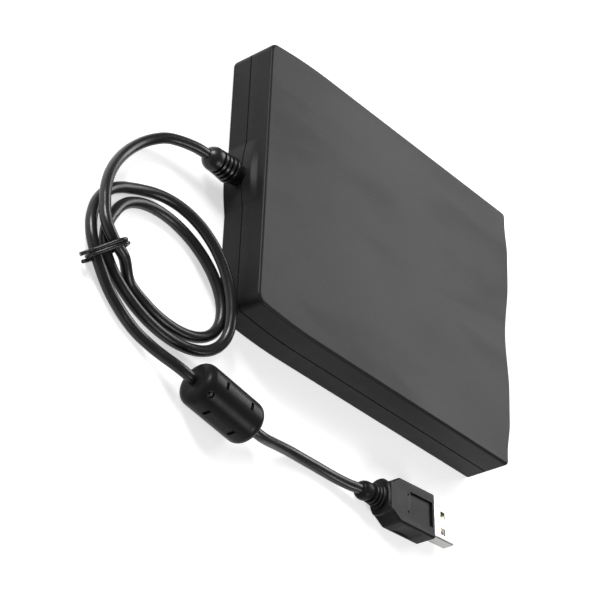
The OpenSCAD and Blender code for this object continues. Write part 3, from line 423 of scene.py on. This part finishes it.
def lens(name):
    """Tinted light pipe."""
    material, tree, bsdf = new_material(name)
    moulded = place_group(tree, GRAIN, size=700, drift=200)
    base = mix_colour(tree, moulded["Drift"], (0.12, 0.42, 0.16, 1), (0.18, 0.55, 0.22, 1))
    tree.links.new(base, bsdf.inputs["Base Color"])
    tree.links.new(ramp(tree, moulded["Height"], 0, 1.5, 0.16, 0.26), bsdf.inputs["Roughness"])
    bsdf.inputs["Transmission Weight"].default_value = 0.45
    bsdf.inputs["IOR"].default_value = 1.49
    return material


CASE = plastic("case_plastic", (0.013, 0.013, 0.0135), 0.42, grain=2200, depth=0.008, drift=14,
               worn=0.2, dust=0.03, spec=0.1)
BEZEL = plastic("bezel_plastic", (0.026, 0.026, 0.027), 0.45, grain=2200, depth=0.012, drift=25,
                spec=0.3)
BUTTON = plastic("button_plastic", (0.045, 0.045, 0.047), 0.42, grain=2600, depth=0.01, drift=60,
                 spec=0.3)
CORD = plastic("cord_vinyl", (0.011, 0.011, 0.0115), 0.34, grain=1300, depth=0.012, drift=70,
               worn=0.0, dust=0.04, spec=0.35)
BEAD = plastic("bead_plastic", (0.01, 0.01, 0.0105), 0.34, grain=1900, depth=0.006, drift=60,
               spec=0.07)
GRIP = plastic("plug_plastic", (0.01, 0.01, 0.0105), 0.38, grain=1900, depth=0.006, drift=60,
               spec=0.07)
RUBBER = plastic("foot_rubber", (0.02, 0.02, 0.02), 0.8, grain=1600, depth=0.03, drift=120,
                 dust=0.3)
INNER = plastic("carriage_plastic", (0.05, 0.053, 0.057), 0.5)
CHIP = plastic("chip_plastic", (0.02, 0.02, 0.021), 0.55, grain=3000, depth=0.02)
WHITE = plastic("white_plastic", (0.6, 0.6, 0.57), 0.42, grain=1700, depth=0.01, worn=0.0)
WIRES = plastic("wire_vinyl", (0.32, 0.06, 0.05), 0.4, grain=1300)
CERAMIC = plastic("head_ceramic", (0.72, 0.67, 0.57), 0.2, grain=3000, depth=0.004, worn=0.0)
STEEL = metal("turned_steel", (0.56, 0.56, 0.57), 0.28)
ZINC = metal("zinc_sheet", (0.6, 0.61, 0.62), 0.4, blotch=160, tarnish=0.5)
NICKEL = metal("nickel_plate", (0.36, 0.36, 0.35), 0.34, lines=700, depth=0.0006, tarnish=0.1)
GOLD = metal("gold_plate", (0.85, 0.62, 0.26), 0.22, depth=0.001, tarnish=0.1)
BRONZE = metal("sintered_bronze", (0.5, 0.33, 0.16), 0.45, lines=2500, depth=0.01)
COPPER = metal("copper_wire", (0.55, 0.23, 0.1), 0.3, lines=2600, depth=0.03)
BOARD, LENS = circuit_board("circuit_board"), lens("light_lens")


def finish_with(obj, material):
    obj.data.materials.clear()
    obj.data.materials.append(material)


# ------------------------------------------------------------------ mesh tools


def new_piece(name, bm, material, body=None):
    """A named piece from a finished bmesh, which this frees."""
    mesh = bpy.data.meshes.new(name)
    bm.to_mesh(mesh)
    bm.free()
    mesh.shade_smooth()
    mesh.set_sharp_from_angle(angle=SHARP)
    piece = show(bpy.data.objects.new(name, mesh))
    finish_with(piece, material)
    if body:
        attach(piece, body)
    return piece


def settle(piece):
    """Turns a piece's modifiers into its mesh."""
    bpy.context.view_layer.update()
    done = piece.evaluated_get(bpy.context.evaluated_depsgraph_get())
    mesh = bpy.data.meshes.new_from_object(done)
    piece.modifiers.clear()
    piece.data = mesh


def weigh_normals(piece):
    """Keeps large flat faces evenly shaded beside rounded edges."""
    bend = piece.modifiers.new("even_shading", "WEIGHTED_NORMAL")
    bend.keep_sharp = True


def cut(piece, cutter_bm):
    """Takes the cutters' shapes out of a piece."""
    mesh = bpy.data.meshes.new("cutter")
    cutter_bm.to_mesh(mesh)
    cutter_bm.free()
    cutter = show(bpy.data.objects.new("cutter", mesh))
    taken = piece.modifiers.new("cut", "BOOLEAN")
    taken.object, taken.solver, taken.operation = cutter, "EXACT", "DIFFERENCE"
    settle(piece)
    bpy.data.objects.remove(cutter)


def put(piece, place):
    """Moves a piece's mesh to its place and marks its sharp edges again."""
    piece.data.transform(place)
    piece.data.set_sharp_from_angle(angle=SHARP)


def add_block(bm, low, high):
    """A block between two corners, in millimetres."""
    low, high = Vector(low), Vector(high)
    place = Matrix.Translation((low + high) / 2 * MM) @ Matrix.Diagonal((*(high - low) * MM, 1))
    return bmesh.ops.create_cube(bm, size=1, matrix=place)["verts"]


def add_rod(bm, foot, height, radius, sides=48, turn=None, top=None):
    """A rod or cone from its foot along +Z, or along turn's +Z, in millimetres."""
    place = Matrix.Translation(Vector(foot) * MM) @ (turn or Matrix.Identity(4))
    place = place @ Matrix.Translation((0, 0, height / 2 * MM))
    bmesh.ops.create_cone(bm, cap_ends=True, segments=sides, radius1=radius * MM,
                          radius2=(radius if top is None else top) * MM,
                          depth=height * MM, matrix=place)


def ring_shell(bm, rings):
    """Extrudes the first ring's edge from ring to ring and closes both ends."""
    verts = [bm.verts.new(p) for p in rings[0]]
    edges = [bm.edges.new((a, b)) for a, b in zip(verts, verts[1:] + verts[:1])]
    bmesh.ops.contextual_create(bm, geom=edges)
    for ring in rings[1:]:
        # A vertex's new neighbour is the one that neither this ring nor an earlier one holds
        grown = bmesh.ops.extrude_edge_only(bm, edges=edges)["geom"]
        edges = [e for e in grown if isinstance(e, bmesh.types.BMEdge)
                 and all(v not in verts for v in e.verts)]
        new = []
        for v in verts:
            other = [e.other_vert(v) for e in v.link_edges if e.other_vert(v) not in verts]
            new.append([o for o in other if o not in new and not o.tag][-1])
        for v, p in zip(new, ring):
            v.co = p
        for v in verts:
            v.tag = True
        verts = new
    bmesh.ops.contextual_create(bm, geom=edges)
    bmesh.ops.recalc_face_normals(bm, faces=bm.faces)


def lathe(bm, profile, steps=96):
    """Spins a profile of (radius, height) pairs in millimetres about +Z."""
    verts = [bm.verts.new((r * MM, 0, z * MM)) for r, z in profile]
    edges = [bm.edges.new(pair) for pair in zip(verts, verts[1:])]
    bmesh.ops.spin(bm, geom=verts + edges, cent=(0, 0, 0), axis=(0, 0, 1),
                   angle=2 * pi, steps=steps, use_merge=True, use_duplicate=False)
    bmesh.ops.remove_doubles(bm, verts=bm.verts, dist=1e-7)
    bmesh.ops.recalc_face_normals(bm, faces=bm.faces)


def ring_sector(bm, inner, outer, z0, z1, start, sweep, steps=26):
    """Part of a flat ring about Z, in millimetres and degrees."""
    rows = []
    for i in range(steps + 1):
        a = radians(start + sweep * i / steps)
        rows.append([bm.verts.new(mm(r * cos(a), r * sin(a), z))
                     for r, z in ((inner, z0), (outer, z0), (outer, z1), (inner, z1))])
    for one, two in zip(rows, rows[1:]):
        for k in range(4):
            bm.faces.new((one[k], one[(k + 1) % 4], two[(k + 1) % 4], two[k]))
    bm.faces.new(rows[0])
    bm.faces.new(list(reversed(rows[-1])))
    bmesh.ops.recalc_face_normals(bm, faces=bm.faces)


WELD = 2e-6  # metres between points that are one
FLAT = radians(0.6)  # faces that turn by less than this are one face
CORNER = radians(35)  # edges that turn by more than this get rounded


def soften(bm, width):
    """Rounds the corners of a shape by a width in millimetres."""
    edges = [e for e in bm.edges if e.is_manifold and e.calc_face_angle(0) > CORNER]
    bmesh.ops.bevel(bm, geom=edges, offset=width * MM, segments=2, profile=0.5,
                    affect="EDGES", material=-1, clamp_overlap=True)


def worked_copy(node, name, material, width, body):
    """A node's shape with its edges rounded, which stands for the node."""
    bm = bmesh.new()
    bm.from_mesh(NODES[node].data)
    bmesh.ops.remove_doubles(bm, verts=bm.verts, dist=WELD)
    bmesh.ops.dissolve_limit(bm, angle_limit=FLAT, verts=bm.verts, edges=bm.edges)
    soften(bm, width)
    piece = new_piece(name, bm, material, body)
    weigh_normals(piece)
    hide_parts(node)


# ------------------------------------------------------------------ housing


def wave(x):
    """How far the front edge stands out: drawn in at its middle, with a crest on each side."""
    a = abs(x)
    if a < WAVE_CREST:
        return -WAVE_IN + (WAVE_OUT + WAVE_IN) * smooth(a / WAVE_CREST)
    return WAVE_OUT * (1 - smooth((a - WAVE_FALL) / WAVE_RUN))


def half_w(y):
    """Half the housing's width, which sweeps in towards the rear."""
    s = max(y - (REAR_Y - SWEEP_LEN), 0)
    return BODY_W / 2 - (SWEEP_R - sqrt(SWEEP_R * SWEEP_R - s * s))


def bulge(x):
    """How far the rear wall stands out round the cable's exit."""
    return BULGE_OUT * cos(pi * x / BULGE_W) if abs(x) < BULGE_W / 2 else 0


def half_outline(inset, share):
    """Right half of the housing's outline, drawn in by an inset, with a share of the bulge."""
    rf, rr = max(FRONT_R - inset, 0.3), max(REAR_R - inset, 0.3)
    xf, yr = BODY_W / 2 - inset - rf, REAR_Y - inset - rr
    xr, ys = half_w(yr) - inset - rr, REAR_Y - SWEEP_LEN
    front = [(x, FRONT_Y - wave(x) + inset) for x in [xf * i / 48 for i in range(48)]]
    corner = [(xf + rf * cos(radians(a)), FRONT_Y + inset + rf + rf * sin(radians(a)))
              for a in range(-90, 1, 10)]
    side = [(half_w(y) - inset, y) for y in [ys + (yr - ys) * i / 20 for i in range(20)]]
    rear = [(xr + rr * cos(radians(a)), yr + rr * sin(radians(a))) for a in range(9, 91, 9)]
    back = [(x, REAR_Y - inset + share * bulge(x))
            for x in [BULGE_W / 2 * (1 - i / 24) for i in range(25)]]
    return front + corner + side + rear + back


def outline_ring(z, inset, share):
    """The housing's whole outline at a height, in metres."""
    half = half_outline(inset, share)
    whole = half + [(-x, y) for x, y in reversed(half[1:-1])]
    return [mm(x, y, z) for x, y in whole]


# A level of a shell is its height, its inset and its share of the bulge


def arc_levels(z_from, z_to, radius, share, steps=7):
    """Levels over a rounded edge, from the wall to the flat face."""
    side = 1 if z_to > z_from else -1
    return [(z_from + side * radius * sin(radians(90 * i / steps)),
             radius * (1 - cos(radians(90 * i / steps))), share) for i in range(steps + 1)]


# Distance from the seam and inset: the seam's groove, and the fine round of its lip
SEAM_LIP = [(0, SEAM_GAP), (0.2, SEAM_GAP), (0.2, 0.14), (0.24, 0.04), (0.34, 0)]
# Height above the seam and share of the bulge: a flat slanted flank with rounded ends
BULGE_FLANK = [(3.2, 1), (3.4, 0.995), (3.6, 0.98), (3.8, 0.93), (4.1, 0.79), (4.7, 0.5),
               (5.3, 0.21), (5.6, 0.07), (5.75, 0.03), (5.9, 0.01), (6.1, 0)]
UNDER_R, UNDER_SHARE = 0.8, 0.9


def shell_of(levels):
    bm = bmesh.new()
    ring_shell(bm, [outline_ring(*level) for level in levels])
    return bm


def upper_shell():
    """Top cover, from its inner face over the seam and the outside to the flat top."""
    return shell_of([(Z_ROOF, WALL, 0), (Z_SEAM, WALL, 0)]
                    + [(Z_SEAM + z, inset, 1) for z, inset in SEAM_LIP]
                    + [(Z_SEAM + z, 0, share) for z, share in BULGE_FLANK]
                    + arc_levels(Z_TOP - EDGE_R, Z_TOP, EDGE_R, 0, 8)
                    + [(Z_TOP, EDGE_R + 0.6, 0)])


def lower_shell():
    """Bottom cover, from the flat underside over the outside and the seam to its inner face."""
    under = arc_levels(Z_UNDER + UNDER_R, Z_UNDER, UNDER_R, UNDER_SHARE)
    return shell_of([(Z_UNDER, UNDER_R + 0.6, UNDER_SHARE)] + under[::-1]
                    + [(Z_SEAM - z, inset, 1) for z, inset in SEAM_LIP[::-1]]
                    + [(Z_SEAM, WALL, 0), (Z_FLOOR, WALL, 0)])


FRONT_W, FRONT_Z = 94.4, (3.4, 14.9)
LIP_GAP, FLANGE_T = 0.1, 1.1
FLANGE_Y = FRONT_Y + WALL + LIP_GAP + FLANGE_T
FEET = [(sx * (BODY_W / 2 - 11.5), sy * (BODY_D / 2 - 16.5)) for sx in (-1, 1) for sy in (-1, 1)]
CASE_SCREWS = [(s * (BODY_W / 2 - 8.5), REAR_Y - 6) for s in (-1, 1)]
CHASSIS_SCREWS = [(x, y) for x in (-44, 44) for y in (-41.5, 25)]
LIE_ALONG_Y = Matrix.Rotation(radians(-90), 4, "X")


EXIT_R, FOOT_R, SCREW_R = 3.5, 4.05, 2.25
FOOT_DEPTH, CASE_SCREW_DEPTH, CHASSIS_SCREW_DEPTH = 0.5, 2, 1.2


def housing_cutters(below):
    """The bezel's opening, the cable's hole, and below the pits for feet and screws."""
    bm = bmesh.new()
    add_block(bm, (-FRONT_W / 2, FRONT_Y - 5, FRONT_Z[0]), (FRONT_W / 2, FLANGE_Y, FRONT_Z[1]))
    add_rod(bm, (EXIT_X, REAR_Y - WALL - 1, EXIT_Z), 8, EXIT_R, 64, LIE_ALONG_Y)
    if below:
        for places, depth, radius, sides in ((FEET, FOOT_DEPTH, FOOT_R, 64),
                                             (CASE_SCREWS, CASE_SCREW_DEPTH, SCREW_R, 40),
                                             (CHASSIS_SCREWS, CHASSIS_SCREW_DEPTH, SCREW_R, 40)):
            for x, y in places:
                add_rod(bm, (x, y, Z_UNDER - 1), depth + 1, radius, sides)
    return bm


def make_housing():
    for name, node, bm, below in (("upper_housing", "top_cover", upper_shell(), False),
                                  ("lower_housing", "bottom_cover", lower_shell(), True)):
        piece = new_piece(name, bm, CASE)
        cut(piece, housing_cutters(below))
        piece.data.set_sharp_from_angle(angle=SHARP)
        weigh_normals(piece)
        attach(piece, "housing")
        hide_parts(node)


make_housing()

# ------------------------------------------------------------------ strain relief, bead, plug, tie


def cable_relief():
    """Moulded sleeve: collar, part slots that let it bend, and a round end."""
    ball_r, ball_z = 3.95, RELIEF_LEN - 3.8
    flange = [(0, -4.4), (4.7, -4.4), (4.7, -3.5), (3.4, -3.3), (3.4, 0)]
    sleeve = [(3.5, 0.9), (3.75, 1.9), (4.15, 2.9), (4.45, 3.5), (4.58, 3.9), (4.55, 4.3),
              (4.4, 5.4), (4.2, 7), (4.05, 8.6), (3.97, 10)]
    ball = [(ball_r * cos(radians(a)), ball_z + ball_r * sin(radians(a)))
            for a in range(-10, 61, 5)]
    mouth = [(1.9, RELIEF_LEN - 0.25), (1.75, RELIEF_LEN - 0.3), (0, RELIEF_LEN - 0.3)]
    bm = bmesh.new()
    lathe(bm, flange + sleeve + ball + mouth)
    piece = new_piece("cable_relief", bm, CORD)
    slot_floor, slot_w, pitch, sweep = 2.95, 0.85, 1.65, 130
    cutters = bmesh.new()
    for i in range(1, 5):
        z = ball_z - 0.2 - pitch * i
        for start in (-20, 160):
            ring_sector(cutters, slot_floor, 6, z, z + slot_w, start, sweep)
    cut(piece, cutters)
    put(piece, Matrix.Translation(mm(EXIT_X, EXIT_Y, EXIT_Z)) @ LIE_ALONG_Y)
    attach(piece, "housing")
    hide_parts("cord_relief")
    return piece


def lying(at, turn):
    """Place of a piece that lies at a point with its own +Z along a heading."""
    a, up = radians(turn), Vector((0, 0, 1))
    heading = Vector((sin(a), -cos(a), 0))
    axes = Matrix((heading.cross(up), -up, heading)).transposed()
    return Matrix.Translation(Vector(at) * MM) @ axes.to_4x4()


BEAD_SLOTS = (88, 178, 268, 358)
SLOT_ASIDE, SLOT_L, SLOT_W, SLOT_DEPTH = 5.6, 2.8, 1.2, 0.7
BEAD_GATE, GATE_AT, PIP_AT = 314, 3.4, 22


def bead_housing():
    """Moulded cover of the bead: rounded ends, pairs of slots, a gate mark and a pip."""
    end_r = 3.2
    end = [(BEAD_R - end_r + end_r * sin(radians(a)), end_r * (1 - cos(radians(a))))
           for a in range(0, 91, 9)]
    bm = bmesh.new()
    lathe(bm, [(0, 0)] + end + [(r, BEAD_LEN - z) for r, z in reversed(end)] + [(0, BEAD_LEN)])
    piece = new_piece("bead_housing", bm, BEAD)
    cutters = bmesh.new()
    for a in BEAD_SLOTS:
        turn = Matrix.Rotation(radians(a), 4, "Z")
        for z in (BEAD_LEN / 2 - SLOT_ASIDE, BEAD_LEN / 2 + SLOT_ASIDE):
            verts = add_block(cutters, (BEAD_R - SLOT_DEPTH, -SLOT_L / 2, z - SLOT_W / 2),
                              (BEAD_R + 1, SLOT_L / 2, z + SLOT_W / 2))
            bmesh.ops.transform(cutters, matrix=turn, verts=verts)
    outwards = Matrix.Rotation(radians(BEAD_GATE), 4, "Z") @ Matrix.Rotation(radians(90), 4, "Y")

    def mark(target, low, high, at, radius, top=None):
        foot = outwards @ Vector((0, 0, BEAD_R + low))
        add_rod(target, (foot.x, foot.y, at), high - low, radius, 24, outwards, top)

    mark(cutters, -0.6, 1, GATE_AT, 1.15)
    cut(piece, cutters)
    marks = bmesh.new()
    marks.from_mesh(piece.data)
    mark(marks, -1.2, -0.1, GATE_AT, 0.5)
    mark(marks, -0.8, 0.25, PIP_AT, 0.8, 0.55)
    marks.to_mesh(piece.data)
    marks.free()
    put(piece, lying(BEAD_AT, BEAD_TURN))
    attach(piece, "housing")
    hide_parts("ferrite_bead")
    return piece


def plug_place():
    """The plug's own frame: +X to its tip, +Z up."""
    return (Matrix.Translation(Vector(PLUG_AT) * MM)
            @ Matrix.Rotation(radians(PLUG_TURN - 90), 4, "Z"))


def plug_grip():
    """Moulded grip: flared block with sunk panels, two dots and a hollow on each side."""
    w, h = PLUG_W / 2, PLUG_H / 2
    half = [(11.9, 4.9), (13.4, 5.2), (17.4, w - 0.1), (PLUG_LEN, w)]
    line = [(x, -y) for x, y in half] + [(x, y) for x, y in reversed(half)]
    bm = bmesh.new()
    face = bm.faces.new([bm.verts.new(mm(x, y, -h)) for x, y in line])
    grown = bmesh.ops.extrude_face_region(bm, geom=[face])["geom"]
    bmesh.ops.translate(bm, vec=mm(0, 0, PLUG_H), verts=[v for v in grown
                                                         if isinstance(v, bmesh.types.BMVert)])
    bmesh.ops.recalc_face_normals(bm, faces=bm.faces)
    bmesh.ops.bevel(bm, geom=list(bm.edges), offset=0.95 * MM, segments=5, profile=0.5,
                    affect="EDGES", material=-1, clamp_overlap=True)
    piece = new_piece("plug_grip", bm, GRIP)
    panel_from, panel_w, panel_depth = 22.6, 8.8, 0.7
    dot_at, dot_depth, dot_r = (21.4, 3), 0.35, 0.42
    hollow_at, hollow_h, hollow_r, hollow_depth = 25.7, 5.6, 40, 0.4
    cutters = bmesh.new()
    for z0, z1 in ((h - panel_depth, h + 1), (-h - 1, -h + panel_depth)):
        add_block(cutters, (panel_from, -panel_w / 2, z0), (PLUG_LEN - 1.5, panel_w / 2, z1))
    for side in (-1, 1):
        add_rod(cutters, (dot_at[0], dot_at[1] * side, h - dot_depth), 1, dot_r, 24)
        add_rod(cutters, (hollow_at, side * (w + hollow_r - hollow_depth), -hollow_h / 2),
                hollow_h, hollow_r, 256)
    add_block(cutters, (PLUG_LEN - 3, -SHELL_W / 2, -SHELL_H / 2),
              (PLUG_LEN + 1, SHELL_W / 2, SHELL_H / 2))
    cut(piece, cutters)
    put(piece, plug_place())
    weigh_normals(piece)
    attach(piece, "housing")
    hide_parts("plug_body")
    return piece


# Neck of the plug along its axis: place, half width and half height
BULB = [(0, 1.7, 1.7), (0, 1.95, 1.95), (0.15, 2.35, 2.35), (0.6, 2.8, 2.8), (1.3, 3.1, 3.1),
        (2.3, 3.28, 3.28), (3.3, 3.25, 3.25), (4.2, 3.0, 3.0), (4.7, 2.75, 2.75), (5.1, 2.7, 2.7)]
RIBS = [(5.9, 3.4, 3.3), (7.4, 3.8, 3.4), (8.9, 4.4, 3.5)]
# Place from a rib's middle, and depth below its top
RIB_EDGE = [(-0.5, 0.7), (-0.46, 0.2), (-0.36, 0), (0.3, 0), (0.4, 0.2), (0.44, 0.7), (0.8, 0.8)]
NECK_FLANGE = [(10.2, 4.6, 3.2), (10.24, 5.9, 3.8), (10.4, 6.15, 4), (11.2, 6.2, 4),
               (11.4, 6, 3.9), (11.42, 4.7, 3.4), (12, 4.7, 3.4)]
NECK = (BULB + [(x + dx, a - deep, b - deep) for x, a, b in RIBS for dx, deep in RIB_EDGE]
        + NECK_FLANGE)
NECK_AT, NECK_ASIDE = 0.9, 0.7


def plug_neck():
    """Bulb at the cable's end, three ribs and a flange with blunt corners, up to the grip."""
    rings = []
    for x, a, b in NECK:
        aside = -NECK_ASIDE * (1 - min(x / NECK_FLANGE[0][0], 1))
        squared = 0.09 * min(max((a - 4.5) / 1.5, 0), 1)
        ring = []
        for i in range(64):
            turn = 2 * pi * i / 64
            blunt = 1 + squared * sin(2 * turn) ** 2
            ring.append(mm(x + NECK_AT, aside + a * blunt * cos(turn), b * blunt * sin(turn)))
        rings.append(ring)
    bm = bmesh.new()
    ring_shell(bm, rings)
    bmesh.ops.transform(bm, matrix=plug_place(), verts=bm.verts)
    return new_piece("plug_neck", bm, GRIP, "housing")


# The folded shell's seam, from the moulding's face: it jogs aside for a dovetail
SEAM_PATH = [((0, 0), (6.5, 0)), ((6.4, -0.7), (6.5, 0)), ((6.4, -0.7), (9, -0.7)),
             ((8.9, -0.7), (9, 0)), ((8.9, 0), (12.5, 0))]


def plug_shell():
    """Folded metal shell with two windows on each wide side."""
    x0, x1 = PLUG_LEN - 3, PLUG_LEN + SHELL_LEN
    y, z, t = SHELL_W / 2, SHELL_H / 2, 0.3
    window_x, window_y, window_w = (5.2, 7.6), 3, 2.3
    seam_w, seam_depth = 0.14, 0.12
    bm = bmesh.new()
    add_block(bm, (x0, -y, -z), (x1, y, z))
    long_edges = [e for e in bm.edges
                  if abs((e.verts[0].co - e.verts[1].co).x) > (x1 - x0) * MM * 0.9]
    bmesh.ops.bevel(bm, geom=long_edges, offset=0.5 * MM, segments=4, profile=0.5,
                    affect="EDGES", material=-1)
    piece = new_piece("plug_shell_metal", bm, NICKEL)
    hollow, windows = bmesh.new(), bmesh.new()
    add_block(hollow, (x0 - 1, -y + t, -z + t), (x1 + 1, y - t, z - t))
    cut(piece, hollow)
    for middle in (-window_y, window_y):
        add_block(windows, (PLUG_LEN + window_x[0], middle - window_w / 2, -z - 1),
                  (PLUG_LEN + window_x[1], middle + window_w / 2, z + 1))
    cut(piece, windows)
    for (x_a, y_a), (x_b, y_b) in SEAM_PATH:
        # Each stretch is cut by itself, because stretches that overlap in one cut spoil it
        seam = bmesh.new()
        add_block(seam, (PLUG_LEN + x_a, y_a - seam_w / 2, z - seam_depth),
                  (PLUG_LEN + x_b, y_b + seam_w / 2, z + 1))
        cut(piece, seam)
    put(piece, plug_place())
    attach(piece, "housing")
    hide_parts("plug_shell")
    return piece


relief, bead = cable_relief(), bead_housing()
grip, neck, shell = plug_grip(), plug_neck(), plug_shell()

TIE_GAP, TIE_D, TIE_RUN = 0.5, 1.2, 1.1
TIE_FROM, TIE_TO, TIE_STEP = 10, 670, 20


def tie_line():
    """Coated wire laid twice round the three strands, with both ends out at the side."""
    middle, ahead = coil_point(360 + TIE_TURN), along((0, 0, 0), TIE_AIM + 90, 1)
    side = Vector((ahead.y, -ahead.x, 0))
    reach = CORD_D / 2 + TIE_D / 2 + TIE_GAP
    strands = [(-0.4, middle.z), ((coil_point(720 + TIE_TURN) - middle).dot(side), middle.z)]

    def point(angle, shift):
        c, s = cos(radians(angle)), sin(radians(angle))
        # The third strand crosses at a slant, so its place moves with the shift
        crossing = [(-1.1 - 0.45 * shift, 7.72 - 0.14 * shift)]
        x, z = max(strands + crossing, key=lambda strand: strand[0] * c + strand[1] * s)
        return (Vector((middle.x, middle.y, 0)) + (x + reach * c) * side
                + Vector((0, 0, z + reach * s)) + shift * ahead)

    ends = 2.6 * side - Vector((0, 0, 1.2))
    line = [point(0, -TIE_RUN) + ends]
    line += [point(a, -TIE_RUN + 2 * TIE_RUN * (a - TIE_FROM) / (TIE_TO - TIE_FROM))
             for a in range(TIE_FROM, TIE_TO + 1, TIE_STEP)]
    return [p * MM for p in line + [point(0, TIE_RUN) + ends]]


tie = wire("twist_tie", tie_line(), TIE_D * MM, 4)
finish_with(tie, CORD)
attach(tie, "housing")
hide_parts("coil_tie")

finish_with(cable, CORD)
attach(cable, "housing")
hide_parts("cord_lead", "cord_coil", "cord_run", "cord_tail")

# ------------------------------------------------------------------ front, feet and screws

worked_copy("front_bezel", "bezel", BEZEL, 0.15, "housing")
worked_copy("disk_door", "door_flap", BEZEL, 0.15, "door")
worked_copy("eject_button", "button", BUTTON, 0.2, "slide")
worked_copy("activity_light", "light_pipe", LENS, 0.15, "housing")
for index in range(1, 5):
    worked_copy(f"foot_{index}", f"rubber_foot_{index}", RUBBER, 0.1, "housing")
worked_copy("case_screws", "housing_screws", STEEL, 0.08, "housing")

# ------------------------------------------------------------------ finishes of the remaining nodes

FINISHES = {
    STEEL: ["door_hinge_pin", "door_spring", "chassis_screws", "spindle_hub", "lead_screw",
            "guide_rod", "arm_hinge_pin"],
    ZINC: ["slide_plate", "chassis", "mechanism_cover", "disk_cradle", "spindle_rotor",
           "stepper_motor", "upper_head_arm"],
    BOARD: ["motor_board", "usb_board"],
    COPPER: ["stator_coils"],
    BRONZE: ["spindle_bearing"],
    INNER: ["head_carriage"],
    CERAMIC: ["lower_head", "upper_head"],
    CHIP: ["board_chips"],
    WHITE: ["disk_switches", "ribbon", "plug_tongue"],
    WIRES: ["inner_wires"],
    GOLD: ["plug_contacts"],
}
for material, names in FINISHES.items():
    for name in names:
        finish_with(NODES[name], material)

# ------------------------------------------------------------------ stage and light


FLOOR_SIZE = 6
# The floor's own white for the camera, near the object and from some way off, in metres
NEAR, FAR = (0.5, 0.58), (1.8, 1.0)


def pale_stage():
    """Pale floor that keeps the object's shadow and fades to white."""
    bm = bmesh.new()
    bmesh.ops.create_grid(bm, x_segments=1, y_segments=1, size=FLOOR_SIZE)
    mesh = bpy.data.meshes.new("floor")
    bm.to_mesh(mesh)
    bm.free()
    floor = show(bpy.data.objects.new("floor", mesh))
    material, tree, bsdf = new_material("pale_floor")
    bsdf.inputs["Base Color"].default_value = (0.72, 0.72, 0.72, 1)
    bsdf.inputs["Roughness"].default_value = 0.9
    bsdf.inputs["Specular IOR Level"].default_value = 0.0
    path = add(tree, "LightPath").outputs
    seen = math(tree, "MAXIMUM", path["Is Camera Ray"],
                math(tree, "MAXIMUM", path["Is Glossy Ray"], path["Is Transmission Ray"]))
    bsdf.inputs["Emission Color"].default_value = (1, 1, 1, 1)
    away = add(tree, "VectorMath", operation="LENGTH")
    tree.links.new(add(tree, "NewGeometry").outputs["Position"], away.inputs[0])
    glow = ramp(tree, away.outputs["Value"], NEAR[0], FAR[0], NEAR[1], FAR[1])
    tree.links.new(math(tree, "MULTIPLY", seen, glow), bsdf.inputs["Emission Strength"])
    finish_with(floor, material)


def studio_world():
    """Faint even light from all round, which the camera sees as white."""
    world = bpy.data.worlds.new("studio")
    bpy.context.scene.world = world
    world.use_nodes = True
    tree = world.node_tree
    ground = tree.nodes["Background"]
    ground.inputs["Color"].default_value = (1, 1, 1, 1)
    path = add(tree, "LightPath").outputs
    tree.links.new(ramp(tree, path["Is Camera Ray"], 0, 1, 0.18, 1.0), ground.inputs["Strength"])


def softbox(name, at, target, size, power):
    """A rectangular area light that faces a target."""
    data = bpy.data.lights.new(name, "AREA")
    data.shape, data.size, data.size_y, data.energy = "RECTANGLE", size[0], size[1], power
    lamp = bpy.data.objects.new(name, data)
    lamp.location = at
    lamp.rotation_euler = (Vector(target) - Vector(at)).to_track_quat("-Z", "Y").to_euler()
    show(lamp)


pale_stage()
studio_world()
softbox("key_box", (0.66, -0.8, 0.72), (-0.02, 0.02, 0), (0.76, 0.76), 10.4)
softbox("left_box", (-0.88, -0.47, 0.66), (-0.08, 0.05, 0), (0.4, 0.4), 5)
softbox("rear_box", (0.56, 0.82, 0.54), (0, 0.06, 0), (0.32, 0.36), 12)

bpy.context.scene.view_settings.view_transform = "Standard"
